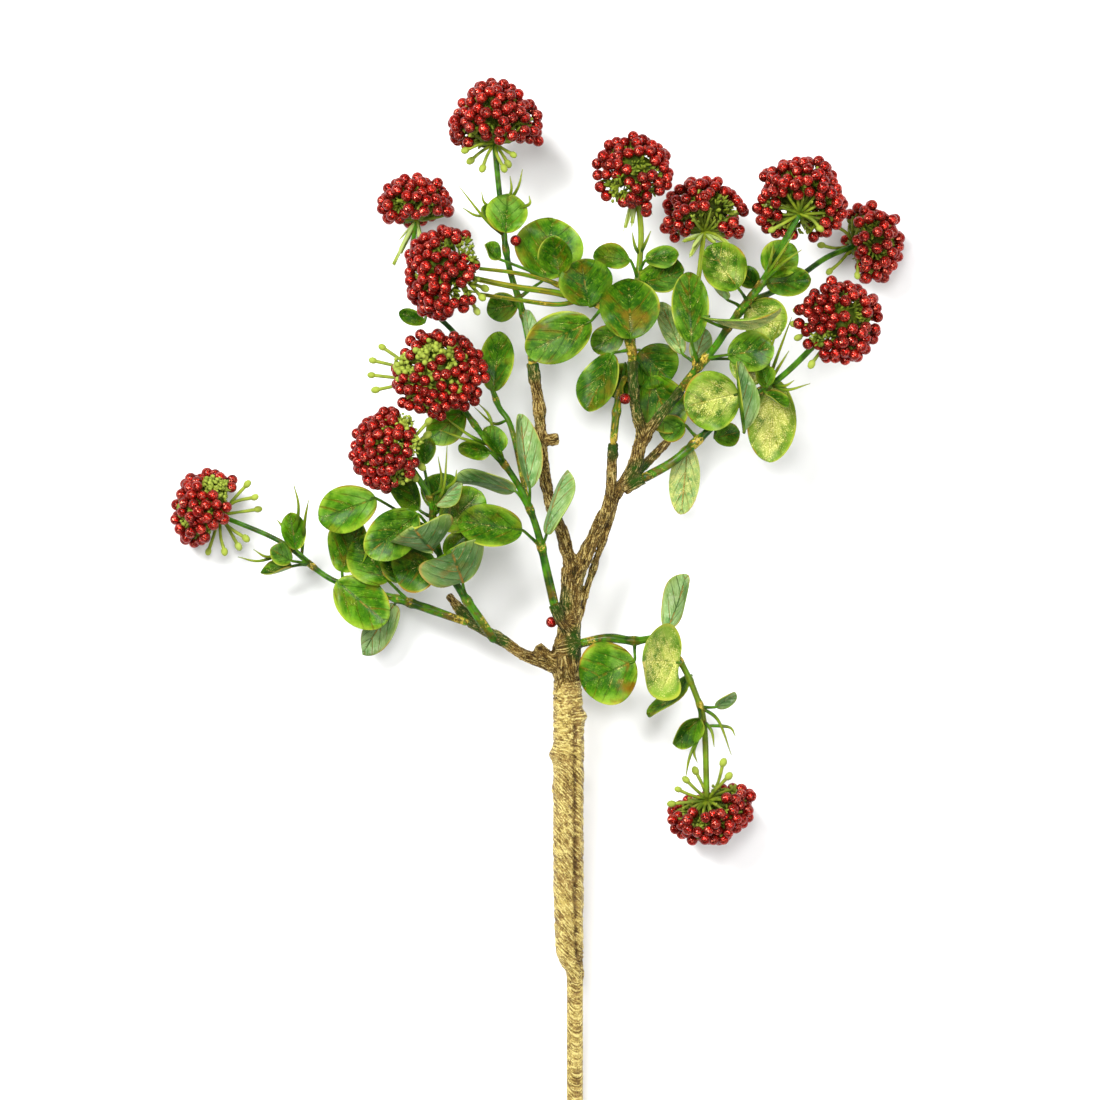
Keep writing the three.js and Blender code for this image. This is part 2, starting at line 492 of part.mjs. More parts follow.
      [[43.5, 187, 32.5], [43, 179, 31], [41.3, 170.5, 29]],
      [[44.5, 187, 32], [44.5, 181, 30], [45.7, 176, 29]],
      [[47.5, 198, 28.5], [53.5, 192, 29], [58.5, 179, 27]],
      [[52.5, 194.5, 29], [51, 188, 30], [52, 182, 30]],
      [[54, 190, 28.8], [57.5, 189.5, 29], [60, 186, 30]],
    ],
    knobs: {
      head_low_right: [[45, 173, 25], [41.5, 169.5, 22], [38.5, 166, 27], [36, 160.5, 24],
        [55.5, 176, 23], [57.5, 171, 28]],
    },
  },
};

function spraySolid(spray) {
  const pieces = spray.stems.map(([route, radii]) => tube(route, radii));
  pieces.push(...spray.leaves.map((form) => leaf(spray.stems, form)));
  pieces.push(...spray.needles.map((route) => needle(spray.stems, route)));
  for (const name of spray.heads) {
    pieces.push(bead(vector(heads[name].base), HUB_RADIUS, UP, 0));
    pieces.push(...umbelStalks(heads[name]));
    const kept = (spray.knobs[name] ?? []).filter((_, i) => i % 2 === 0);
    pieces.push(...kept.map((tip) => knob(heads[name].base, tip)));
  }
  return fused(pieces);
}

// The bark piece: neck, fork, branches and cut stubs, moulded in one.
const barkRoutes = [
  [[[-3.4, 206.4, 28.2], [-3.6, 214, 29.5], [-2.2, 232, 33], [-1.2, 249, 37]], [4.9, 5.3, 4.4, 4.2]],
  [[[-1, 246, 36.3], [-5, 262, 39.5], [-9, 272, 42], [-12.5, 287, 45], [-13, 297, 47], [-14, 310, 49],
    [-16.2, 325.9, 50.9]],
    [3, 2.6, 2.5, 2.5, 2.4, 2.2]],
  [[[0, 246, 36.3], [5, 258, 38.5], [9, 266, 40], [17, 280, 42], [22, 288, 43], [25, 300, 44]],
    [3, 2.6, 2.5, 2.5, 2.7]],
  [[[24.5, 297, 43.8], [32, 307, 44.5], [39.2, 316.2, 45.2]], [2.6, 2.3, 2]],
  [[[24.8, 298, 43.8], [22, 312, 47], [21, 327, 49.4]], [2.4, 2.1, 2]],
  [[[23, 285, 42], [30, 292.5, 37], [37.5, 300, 32.5]], [2.1, 1.7, 1.5]],
  [[[11, 270, 41], [13, 280, 44], [13.8, 296, 49.2]], [2, 2.1, 2]],
  [[[-2, 210, 28.5], [-10, 213, 30], [-20, 217, 31.5], [-30, 223.5, 32], [-40.5, 228.7, 31.4]],
    [3.4, 2.7, 2.4, 2.4, 1.7]],
  [[[-32, 224.5, 32], [-42, 232, 28], [-48, 239, 26]], [1.9, 2, 1.6]],
  [[[-8, 213, 30], [-14.5, 219.7, 31.5]], [2.6, 2.1]],
  [[[-12.5, 297, 47], [-6.8, 297.5, 47]], [1.9, 2.1]],
  [[[-12.4, 286, 45], [-17.5, 294, 43]], [1.4, 1]],
  [[[0, 228, 32], [5.5, 246, 33.5], [12, 265, 38.5], [15.5, 276, 41]], [1.6, 1.3, 1.2]],
  [[[7, 264, 40.5], [9.8, 270.5, 40.5]], [2, 1.6]],
  [[[-3, 226, 33.5], [-6, 230.5, 39.2], [-8, 235.6, 41]], [2.7, 2.4, 2.1]],
  [[[18, 279, 44.2], [25.1, 282.9, 44.5]], [2.4, 2.2]],
  [[[-3, 220.2, 33], [2.25, 221.2, 33.9]], [2.6, 2.2]],
];

const solids = {
  stem_foot: tube([[-0.35, 0, 2.9], [-0.35, 50, 8.5], [-0.35, FOOT_LENGTH, 14.4]],
    [FOOT_RADIUS, FOOT_RADIUS], 10),
  taped_trunk: tube(
    [[-0.5, FOOT_LENGTH + 2 * GAP, 14.45], [-2.6, 110, 16.1], [-2.8, 150, 21], [-2.8, 190, 26.1],
      [-3.4, 206, 28.1]],
    [3.4, TRUNK_RADIUS - 0.2, TRUNK_RADIUS, TRUNK_RADIUS, TRUNK_RADIUS, TRUNK_RADIUS, 4.9], 12, 2),
  bark_branches: fused(barkRoutes.map(([route, radii]) => tube(route, radii, 7))),
};
for (const [name, spray] of Object.entries(sprays)) solids[name] = spraySolid(spray);
Object.entries(heads).forEach(([name, head], index) => {
  solids[name] = berryHead(head, 101 + index);
});
const strayBeads = [[-22.6, 372, 44.3], [18.3, 312.6, 51.2], [-9.2, 229, 31.5]];
strayBeads.forEach((centre, index) => {
  solids[`stray_bead_${index + 1}`] = bead(vector(centre), BEAD_RADIUS, UP, index);
});

function materialOf(name) {
  if (name.startsWith("spray")) return LEAF_GREEN;
  if (name.startsWith("bark")) return BARK;
  return name.startsWith("stem") || name.startsWith("taped") ? GOLD_BARK : BERRY_RED;
}

// What touches the table is cut flat at its surface.
const belowTable = new THREE.BoxGeometry(1000, 1200, 100);
belowTable.translate(0, 200, -50);
const table = solidOf(belowTable);

const model = new THREE.Group();
for (const [name, solid] of Object.entries(solids)) {
  const mesh = new THREE.Mesh(geometryOf(solid.subtract(table)), materialOf(name));
  mesh.name = name;
  model.add(mesh);
}

// The origin is the middle of the model's outer box, on the table.
const box = new THREE.Box3().setFromObject(model);
const middle = box.getCenter(new THREE.Vector3());
model.position.set(-middle.x, -middle.y, -box.min.z);

export default model;
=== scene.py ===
import math
import bmesh
import bpy
import numpy as np
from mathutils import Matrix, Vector
from mathutils.kdtree import KDTree


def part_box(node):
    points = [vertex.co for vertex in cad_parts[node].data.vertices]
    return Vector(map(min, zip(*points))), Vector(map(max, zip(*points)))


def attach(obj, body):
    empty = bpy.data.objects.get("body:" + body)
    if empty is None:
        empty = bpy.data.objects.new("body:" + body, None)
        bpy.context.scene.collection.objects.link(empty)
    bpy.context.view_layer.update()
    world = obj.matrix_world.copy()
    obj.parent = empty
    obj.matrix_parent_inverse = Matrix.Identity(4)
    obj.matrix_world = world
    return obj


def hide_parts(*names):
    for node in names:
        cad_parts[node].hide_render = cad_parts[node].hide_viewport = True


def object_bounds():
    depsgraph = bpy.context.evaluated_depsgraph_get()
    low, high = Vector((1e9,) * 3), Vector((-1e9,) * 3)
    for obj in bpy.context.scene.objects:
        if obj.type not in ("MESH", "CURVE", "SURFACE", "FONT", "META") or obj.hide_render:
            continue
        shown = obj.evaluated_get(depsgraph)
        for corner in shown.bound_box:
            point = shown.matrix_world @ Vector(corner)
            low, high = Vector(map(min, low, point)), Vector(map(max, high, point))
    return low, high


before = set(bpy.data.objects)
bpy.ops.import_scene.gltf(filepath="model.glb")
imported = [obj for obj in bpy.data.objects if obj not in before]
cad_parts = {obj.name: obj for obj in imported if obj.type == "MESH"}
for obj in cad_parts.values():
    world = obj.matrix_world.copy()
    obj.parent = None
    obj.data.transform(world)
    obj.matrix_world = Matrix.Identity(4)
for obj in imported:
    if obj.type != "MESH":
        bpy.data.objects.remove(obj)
cad_box = [list(corner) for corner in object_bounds()]

# The plan is in millimetres, with the stem's cut end at y = 0. PLAN_CORNER is where the stem foot's
# lowest corner lies in it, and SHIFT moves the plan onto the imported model.
PLAN_CORNER = Vector((-3.4996, -0.3351, 0))
SHIFT = Vector(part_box("stem_foot")[0]) * 1000 - PLAN_CORNER
SHIFT.z = 0
SHIFT = np.array(SHIFT)
# The solids' own box in the plan: nothing may stand nearer to its sides than BOX_GAP.
BOX_LOW, BOX_HIGH = (np.array(corner) * 1000 - SHIFT for corner in cad_box)
BOX_GAP = 0.02

# Heads: size and distance of the berries, how low on the dome they reach (as a cosine), how much of the dome
# they cover, and how high the dome stands over its stalk's end.
BEAD_RADIUS = 2.1
BEAD_SPACING = 4.7
LOWEST = math.cos(math.radians(98))
COVER, LOOSE_COVER = 0.74, 0.62
UMBEL_LIFT = 3
# The number of rays, of hubs that carry the berries' stalks, and of tufts of florets. How often crowded
# berries push each other apart, and how often a place is tried for the ones that hang.
RAYS = HUBS = 15
TUFTS = 190
PUSHES = 14
HANGING_TRIES = 900
GOLDEN_ANGLE = math.pi * (3 - math.sqrt(5))

# Stalks: how far a joint's swelling and the drawn-in root reach along them, how deep they sit in the bark's
# sockets, and how much slimmer they are than the solids' stalks.
JOINT_WIDTH = 1.6
ROOT_LENGTH = 1.5
SOCKET_DEPTH = 1.6
STALK_SHARE = 0.88

# Rows and columns of points. Leaves narrower than SMALL_LEAF have the smaller grid.
LEAF_GRID, SMALL_LEAF_GRID, SMALL_LEAF = (26, 17), (14, 9), 12
TRUNK_GRID, FOOT_GRID = (310, 96), (190, 56)

# The taped stem: its usual radii, the height where the slanted creases turn into wound rings and how soon,
# the height where it is tied, how far right of the middle the groove and the cord run, and the knots under
# the tape (height along the stem, side, how high, how wide).
TRUNK_RADIUS, FOOT_RADIUS = 5.8, 3.1
RINGS_FROM, RINGS_SOON = 172, 14
TIED = 201.5
GROOVE, CORD = 2.7, 4.3
TRUNK_KNOTS = ((179, -1, 1.7, 2.4), (193.5, 1, 1.3, 2.0), (166, -1, 0.8, 1.6))

# The bark: the fineness of its skin in metres, how far a spray's green creeps down it, and the hollow between
# its two limbs.
BARK_VOXEL = 0.00045
CREEP = {"spray_centre": 30, "spray_right": 20}
CREEP_ELSEWHERE = 9
FORK_HOLLOW = (-1, 247.8)

# The finishes of the green pieces, by their place in the list of materials.
STALK, LEAF_TOP, LEAF_UNDER, PALE = range(4)
# Leaf kinds: how yellow the edge, how much gold scuffing, how many brown patches.
LEAF_STYLES = {
    "green": (0.5, 0.22, 0.3), "dark": (0.12, 0.25, 0.5), "bright": (0.85, 0.2, 0.45),
    "deep": (0.14, 0.17, 0.6), "mellow": (0.35, 0.25, 0.6), "pale": (0.5, 0.3, 0.3), "yellow": (1, 0.4, 0.8),
    "gold": (0.7, 0.95, 0.2), "goldvein": (0.5, 0.62, 0.25), "patched": (0.75, 0.25, 0.95),
    "dull": (0.05, 0.3, 0.8), "turned": (0.5, 0.25, 0.3), "turned_gold": (0.6, 0.75, 0.2),
}

# Heads: the point where the stalks spread, the way the dome faces, its radius and its depth; then the bare
# patches where florets stand in place of berries (the way each one faces, and how far it reaches as the
# cosine of an angle), and the berries that hang below the rim (on which side, how many, how far spread).
HEADS = {
    "head_top_left": ((-30.5, 408.5, 42), (-0.05, 0.98, -0.18), 19.2, 25.5,
        [((0.2, -0.5, 0.8), 0.93)], [((0, 0, 1), 7, 1.5)]),
    "head_upper_left": ((-60, 380.5, 29), (-0.03, 0.95, -0.28), 15.8, 18.5,
        [((0.3, -0.7, 0.6), 0.93)], [((0, 0, 1), 9, 1.5)]),
    "head_left_third": ((-45, 359, 60), (-0.75, 0.08, 0.65), 20, 20,
        [((0.55, 0.55, 0.6), 0.9), ((0.8, -0.3, 0.5), 0.88)], []),
    "head_left_fourth": ((-50.5, 320, 55), (-0.15, 0.3, 0.94), 19.8, 19,
        [((-0.3, 0.65, 0.7), 0.94), ((-0.88, 0.25, 0.4), 0.93)], []),
    "head_left_fifth": ((-65, 292.5, 62), (-0.82, 0.12, 0.56), 18, 20.5,
        [((0.8, 0.15, 0.6), 0.91), ((0.35, 0.8, 0.5), 0.95), ((0.5, -0.75, 0.4), 0.95)], []),
    "head_far_left": ((-134.5, 269.5, 14.4), (-0.88, 0.42, 0.2), 17, 21,
        [((0.25, 0.75, 0.6), 0.92), ((0.75, -0.4, 0.5), 0.95)], [((0, 0, 1), 3, 1.5)]),
    "head_top_centre": ((22, 394.5, 46), (-0.1, 0.45, 0.88), 17.5, 19,
        [((-0.45, -0.35, 0.8), 0.92), ((0.1, 0.2, 0.97), 0.975)], []),
    "head_centre_right": ((48, 375.5, 38), (0.05, 0.94, -0.33), 17.8, 23,
        [((0.1, -0.6, 0.8), 0.9)], [((-1, 0, 0.35), 7, 0.5), ((1, 0, 0.35), 6, 0.45)]),
    "head_top_right": ((83.5, 381.5, 58), (0.05, 0.68, -0.73), 18.8, 27.5,
        [((0.7, -0.1, 0.7), 0.88), ((0, 0.1, 1), 0.97)], [((0, 0, 1), 30, 2.2)]),
    "head_right_edge": ((105, 371, 18.1), (0.93, 0.2, -0.3), 17.5, 21,
        [((-0.3, 0.3, 0.9), 0.9), ((-0.2, -0.3, 0.93), 0.94)], [((0, -0.5, 1), 10, 1.2)]),
    "head_right_front": ((96.5, 340.5, 52), (0.3, 0.2, 0.93), 18, 20,
        [((-0.5, -0.45, 0.72), 0.96)], []),
    "head_low_right": ((49.5, 162, 22), (0.35, -0.85, -0.4), 18.7, 18,
        [((-0.2, 0.3, 0.93), 0.8)], [((0, 0, 1), 9, 1.8)]),
}
# Heads whose bare patches are pale and crowded with buds.
PALE_HEADS = {"head_left_fourth", "head_left_fifth", "head_far_left", "head_low_right"}
# Heads whose berries stand further apart.
LOOSE_HEADS = {"head_top_centre", "head_centre_right"}
# Heads under which the bare stalks are broad, pale straps.
STRAPPED_HEADS = {"head_upper_left", "head_centre_right", "head_top_centre"}

# Sprays. Stems: a route and the radii along it. Leaves: a point near the stalk's root, the blade's root and
# tip, its width, the way it faces, its fold in degrees, its sag and its kind. Needles: routes. Knobs: where
# the bare stalks under each of the spray's heads end.
SPRAYS = {}
SPRAYS["spray_far_left"] = {
    "stems": [
        ([(-41.7, 229.1, 31.1), (-57, 234.5, 28.5), (-70, 238.5, 26), (-92, 245, 22.5), (-111, 259, 18.3),
          (-134, 269, 14.3)], [1.6, 2, 1.7, 1.3, 1.2, 1.1, 1]),
    ],
    "leaves": [
        ((-89, 244.5, 23), (-90, 244.5, 27), (-71.5, 228.5, 30), 18, (0.1, 0, 1), 12, 1, "bright"),
        ((-68, 238, 26.5), (-68.3, 235.5, 24), (-80.5, 216.5, 15), 12, (0.6, 0.4, -0.7), 20, 1, "green"),
        ((-88, 243.8, 23), (-88, 248, 24), (-81, 267.5, 28), 20, (-0.35, 0.1, 0.93), 34, 1, "patched"),
        ((-63, 237, 27.5), (-70.5, 244.5, 30), (-83, 260.5, 33), 18, (0, 0, 1), 8, 1, "green"),
        ((-99, 250, 21.5), (-105.4, 256.3, 24.1), (-107.6, 270.3, 26.2), 10.4, (0.25, 0, 1), 28, 0.5,
         "bright"),
        ((-99, 250, 21.5), (-107, 250, 20), (-119, 247.5, 19), 9, (0, 0.8, 0.5), 30, 1, "green"),
        ((-99, 250, 21.5), (-107, 252, 23), (-115, 256.5, 25), 9, (0.3, 0.2, 0.9), 20, 0.5, "green"),
    ],
    "needles": [
        [(-103.4, 262.1, 27.4), (-104.3, 271.2, 30.3), (-106.1, 281, 31.3)],
        [(-103, 259, 25.5), (-102, 267, 28), (-100.5, 275, 30)],
        [(-107, 262, 26), (-110, 264, 26), (-112.5, 267.5, 26)],
        [(-112, 249.5, 20), (-119, 252, 20), (-127.5, 253.5, 20)],
        [(-111, 251.5, 22), (-116, 253.5, 22), (-121.5, 256.3, 23)],
    ],
    "knobs": {
        "head_far_left": [
            (-124, 281, 17), (-121, 276, 22), (-120, 271.5, 15), (-124.5, 260.5, 19), (-127.5, 257.5, 12),
            (-132.5, 255.5, 20), (-139, 255.5, 9),
        ],
    },
}
SPRAYS["spray_left_front"] = {
    "stems": [
        ([(-31.2, 223, 37), (-36, 230, 40), (-44, 242, 44), (-50, 252, 48), (-53, 263, 52), (-55, 276, 57),
          (-65, 292, 61.6)], [1.9, 2.1, 1.6, 1.5, 1.3, 1.3, 1.3]),
    ],
    "leaves": [
        ((-53.5, 264, 52.5), (-75, 275.5, 45), (-96.5, 267.5, 42), 17, (0, 0.1, 1), 8, 1, "bright"),
        ((-54, 268, 53.5), (-58.5, 271, 54), (-66.5, 286.5, 50), 14, (-0.7, 0.1, 0.7), 28, 1, "green"),
        ((-53, 264, 52.5), (-59, 269.5, 56), (-78, 254.5, 52), 17, (-0.1, 0.1, 1), 10, 1, "green"),
        ((-50.5, 253, 48.5), (-53.5, 256.5, 53), (-60.5, 264.5, 67), 25, (-0.2, 0.8, -0.5), 12, 1, "dull"),
        ((-49, 250, 47), (-52, 251.5, 46), (-68.5, 247.5, 40), 18, (0, 0, 1), 10, 1, "dark"),
        ((-52.5, 261, 51), (-49.5, 264, 52), (-35.5, 278, 49), 16, (0.1, 0.1, 1), 14, 1, "yellow"),
        ((-48.5, 250, 47), (-49, 254, 51), (-41, 262, 50), 9, (0, 0, 1), 14, 0.5, "green"),
        ((-41, 238, 42.5), (-42.5, 244, 48), (-47, 256.5, 61), 26, (-0.41, 0.64, -0.64), 14, 1, "dull"),
        ((-53.5, 268, 53.5), (-52, 272.5, 58), (-42.5, 281, 60), 10, (0.5, -0.6, -0.6), 30, 0.5, "pale"),
        ((-53.5, 268, 53.5), (-51, 271, 49), (-50, 285, 43), 15, (0, 0, 1), 8, 1, "bright"),
        ((-55, 276, 57), (-57, 288, 54), (-56, 299, 52), 8, (0.4, 0, 0.9), 18, 0.5, "green"),
        ((-49, 249, 46.5), (-65, 244, 37), (-72.5, 254, 36), 8, (0.3, 0, 0.9), 10, 0.5, "green"),
    ],
    "needles": [
        [(-53.5, 270, 55), (-49.5, 279, 60), (-48, 296, 62)],
        [(-54, 271, 55), (-50.3, 281, 58), (-51.5, 291, 60)],
        [(-49, 277, 60.5), (-46, 281, 61), (-44.5, 286, 62)],
    ],
    "knobs": {
        "head_left_fifth": [(-60, 283, 62), (-57.5, 287, 66), (-55, 304, 66), (-55.5, 299, 60)],
    },
}
SPRAYS["spray_left_middle"] = {
    "stems": [
        ([(-8.3, 236.5, 41.2), (-10.5, 246, 42.5), (-15, 265, 46), (-22, 281, 50), (-35, 299, 52),
          (-50, 319.5, 54.5)], [2, 1.9, 1.5, 1.4, 1.3, 1.2]),
        ([(-18, 273, 47.5), (-24, 301, 45), (-29, 310, 43), (-34, 322, 40), (-46, 338, 36), (-58, 350, 31),
          (-62, 363, 28), (-60.2, 379.5, 28.8)], [1.2, 1.2, 1.1, 1, 1]),
    ],
    "leaves": [
        ((-17.5, 271, 47), (-22.5, 278, 51), (-46, 281.5, 52), 17, (0, 0.93, -0.37), 12, -2, "dark"),
        ((-13, 255.5, 44), (-20, 263.5, 50), (-44.5, 267, 57), 15.5, (0, 0, 1), 14, 1.5, "green"),
        ((-13, 255.5, 44), (-11, 262, 50), (-3, 286, 54), 13, (0.75, -0.35, -0.55), 20, 1, "bright"),
        ((-17, 271, 47.5), (-17.3, 279, 52), (-21, 307, 54), 13, (0.45, 0, 0.9), 42, 1, "turned"),
        ((-31, 313, 42.6), (-31, 315.5, 44), (-28.5, 338, 46), 12.5, (-0.1, 0, 1), 8, 1, "green"),
        ((-37, 303, 52), (-42, 308, 48), (-55, 297, 46), 13, (0, 0, 1), 8, 1, "bright"),
        ((-56, 348, 31.8), (-57, 341.5, 34), (-66.5, 345.5, 37), 6, (0, 0, 1), 15, 0.5, "green"),
        ((-27, 289, 51), (-28, 292.5, 56), (-34.5, 301.5, 59), 11, (0.5, 0.3, 0.8), 28, 0.5, "green"),
        ((-27, 289, 51), (-32, 292.5, 54), (-44, 295, 54), 8, (0, -0.5, 0.8), 20, 0.5, "green"),
    ],
    "needles": [
        [(-33, 295, 56.5), (-40, 299, 57), (-50.5, 307, 48)],
        [(-33, 294, 56), (-41, 297.3, 56), (-51, 301, 53)],
        [(-28, 294, 55), (-32, 305, 58), (-36.5, 311, 50)],
        [(-25.5, 304, 45), (-31, 303.5, 45), (-38, 309.5, 44)],
    ],
    "knobs": {
        "head_left_fourth": [(-76, 327, 49), (-76.5, 321.5, 51), (-75, 316, 48), (-72.5, 332, 47)],
        "head_upper_left": [(-68.5, 363.5, 31), (-66, 368, 25), (-58, 368, 33)],
    },
}
SPRAYS["spray_top_left"] = {
    "stems": [
        ([(-16.3, 326.3, 51), (-17.5, 334, 50), (-20.5, 347, 45), (-25.5, 364, 42), (-28.5, 388, 42),
          (-30.5, 408, 42)], [1.9, 1.6, 1.4, 1.3, 1.2, 1.2]),
    ],
    "leaves": [
        ((-21.5, 351, 44), (-12, 357.5, 42), (-8.5, 380.5, 40), 25, (0, 0, 1), 8, 1.5, "bright"),
        ((-20, 345, 45.5), (-22, 348, 44), (-33.5, 346.5, 40), 11, (0, 0.2, 1), 10, 1, "green"),
        ((-17.4, 333, 50), (-17, 333.5, 53), (-18.5, 346, 49.5), 6.5, (0.6, 0, -0.8), 25, 0, "green"),
        ((-26.3, 370, 42), (-26.3, 375, 47), (-25.5, 389.5, 50), 16, (0, 0.1, 1), 20, 1, "bright"),
        ((-26.3, 370, 42), (-28, 376, 42), (-34.5, 385.5, 39), 10, (0.5, 0.2, 0.8), 30, 0.5, "green"),
    ],
    "needles": [
        [(-26.5, 372, 42), (-34, 380, 45), (-44, 392.5, 46)],
        [(-31, 380.5, 41), (-36.5, 381.3, 42), (-42.5, 384.3, 43)],
        [(-32.5, 382, 40), (-34, 386, 38), (-35.5, 390.5, 37)],
        [(-25, 384, 49.5), (-24.3, 390, 50), (-24.7, 396, 50)],
        [(-22.5, 384, 49.5), (-22, 391, 51), (-20, 398.5, 52)],
        [(-20, 382, 50.5), (-18, 385, 52), (-17.5, 388.5, 53)],
    ],
    "knobs": {
        "head_top_left": [
            (-35, 399, 46), (-39.5, 402, 42), (-41.5, 405.5, 50), (-27, 399, 46), (-25.5, 401, 38),
            (-23.5, 404, 48), (-22, 410.5, 47),
        ],
    },
}
SPRAYS["spray_centre"] = {
    "stems": [
        ([(20.9, 327.3, 49.5), (20.5, 332, 51), (17, 340, 54), (8, 348, 55), (-7, 352, 57),
          (-24, 354.5, 59), (-44.5, 358.8, 59.6)], [1.9, 1.7, 1.6, 1.5, 1.3, 1.2]),
        ([(4, 350, 55.4), (-7, 347.8, 56), (-22, 349.5, 58), (-36, 351.5, 60)], [1.1, 1, 0.8]),
        ([(0, 351, 56), (-9, 356, 58.5), (-22, 359.3, 61), (-36, 361, 62)], [1.1, 1, 0.8]),
        ([(20.5, 332, 50.5), (22.5, 346, 47), (23.5, 360, 45.5), (24.3, 376, 45.5), (22.2, 393.5, 45.6)],
         [1.5, 1.4, 1.3, 1.2]),
    ],
    "leaves": [
        ((9, 347, 56), (5.5, 341.5, 59), (-18.5, 329.5, 57), 18, (0, 0, 1), 12, 1.5, "mellow"),
        ((-4, 353, 57), (-6.3, 359, 61), (-9, 373, 66), 15, (-0.1, -0.1, 1), 34, 2, "dark"),
        ((7, 348, 56), (5, 347, 59), (2, 364.5, 62), 20, (0.2, 0, 1), 12, 1.5, "deep"),
        ((20, 333, 52), (20.5, 335, 57), (19.5, 357.5, 60), 22, (0, 0, 1), 12, 1.5, "deep"),
        ((19.5, 334, 51), (17.5, 338, 49), (6, 331.5, 47), 11, (0, 0, 1), 12, 0.5, "green"),
        ((20, 331, 50.5), (13.5, 329.5, 54), (4, 308, 52), 15, (-0.35, 0.2, 0.9), 14, 1, "dark"),
        ((21, 331, 49.5), (24, 331, 41), (35.5, 319.5, 38.5), 18, (0, 0, 1), 8, 1, "deep"),
        ((21, 331, 49.5), (27.5, 321, 39), (37.5, 300.5, 37.5), 18, (0.1, 0, 1), 12, 1.5, "patched"),
        ((23, 347, 47), (24, 356, 48.5), (40.5, 361, 49), 16, (0, 0.6, 0.75), 12, 1, "green"),
        ((23.5, 358, 45.5), (20.3, 364.5, 50), (6.5, 366.5, 52), 11, (0, 0.5, 0.85), 16, 0.5, "green"),
        ((23.5, 360, 45.5), (26, 364.5, 50), (38.5, 366.5, 52), 10, (0, 0.5, 0.85), 20, 0.5, "green"),
        ((-8, 355, 57), (-28.5, 364.5, 61), (-34, 370, 63), 9, (0.3, 0.5, 0.8), 40, 1, "green"),
    ],
    "needles": [
        [(23.6, 366, 45.5), (22, 370, 47), (21, 375, 48)],
        [(24, 366, 45.5), (26, 371, 47), (28, 375.5, 48)],
    ],
    "knobs": {
        "head_left_third": [(-37, 345, 66), (-35, 350, 70), (-34, 353.5, 66)],
        "head_top_centre": [(27.5, 382.5, 47), (21, 378.5, 47), (18.5, 377, 43)],
    },
}
SPRAYS["spray_right"] = {
    "stems": [
        ([(39.5, 316.6, 45.3), (46, 325, 47), (52, 332, 49), (58, 341, 51), (65, 350, 53), (70, 357, 54.5),
          (76, 368, 57), (83, 381, 58.3)], [1.9, 1.7, 1.6, 1.5, 1.4, 1.3]),
        ([(45, 323.6, 46.5), (44, 336, 42), (45, 350, 39), (46.5, 362, 37), (48, 375, 37.8)],
         [1.3, 1.2, 1.1, 1.1]),
        ([(64, 349, 52.5), (72, 352, 46), (82, 357.5, 36), (94, 366, 25.4), (104.5, 370.6, 18.5)],
         [1.4, 1.3, 1.2, 1.2]),
    ],
    "leaves": [
        ((46, 325, 47), (43.2, 333.5, 54), (42, 360, 56), 14, (-0.1, 0, 1), 14, 1.5, "mellow"),
        ((44.6, 326, 45.5), (40, 329.5, 44), (31.5, 349, 45), 8.5, (-0.3, 0, 1), 16, 1, "turned_gold"),
        ((45, 325, 46), (44.5, 327, 44.5), (48.5, 339, 45), 8, (0.2, 0, 1), 10, 0.5, "turned"),
        ((64, 349, 52.5), (60.5, 353.5, 62), (49.5, 369.5, 64), 17, (0.15, 0.1, 1), 14, 1.5, "goldvein"),
        ((62, 346, 52), (56.5, 349.5, 56), (48.5, 361.5, 56), 10, (0.8, 0.5, -0.35), 20, 1, "goldvein"),
        ((70, 356, 54), (72, 358.5, 51), (80, 371, 47), 14, (0, 0, 1), 10, 1, "bright"),
        ((68.5, 354.5, 54), (68, 354.5, 51.5), (61, 361.5, 50), 8, (0, 0, 1), 10, 0.5, "green"),
        ((66, 351, 53), (71, 355.5, 50), (88, 357.5, 48), 11, (0, 0, 1), 12, 1, "green"),
        ((61, 345, 52), (64, 347.5, 50), (77, 337.5, 47), 17, (0, 0, 1), 14, 1.5, "gold"),
        ((57, 339.5, 51), (47, 343, 57), (76.5, 346, 66), 11, (0.1, -0.97, 0.25), 8, -3, "turned_gold"),
        ((48, 328, 48.5), (56.5, 329, 54), (74, 331.5, 55), 15, (0, 0.1, 1), 12, 1.5, "pale"),
        ((48, 327, 47.5), (58, 327.5, 49), (69, 319, 49), 10, (0, 0.1, 1), 14, 0.5, "gold"),
    ],
    "needles": [
        [(69, 355.5, 55), (74, 363, 59), (81.5, 374.5, 61)], [(69, 356, 55), (77, 363, 60), (84, 368, 62)],
        [(71, 358, 55.5), (72.5, 364, 59), (73.5, 370, 60)],
    ],
    "knobs": {
        "head_centre_right": [
            (43, 366.5, 41), (44.5, 371, 37), (40.5, 372, 43), (52, 371.5, 42), (56.5, 371, 44),
        ],
        "head_top_right": [(73, 375.5, 60), (91, 376, 59)],
        "head_right_edge": [
            (92.5, 371, 22), (95.5, 361, 24), (106, 359.5, 24), (111, 361.5, 21), (98, 378, 26),
        ],
    },
}
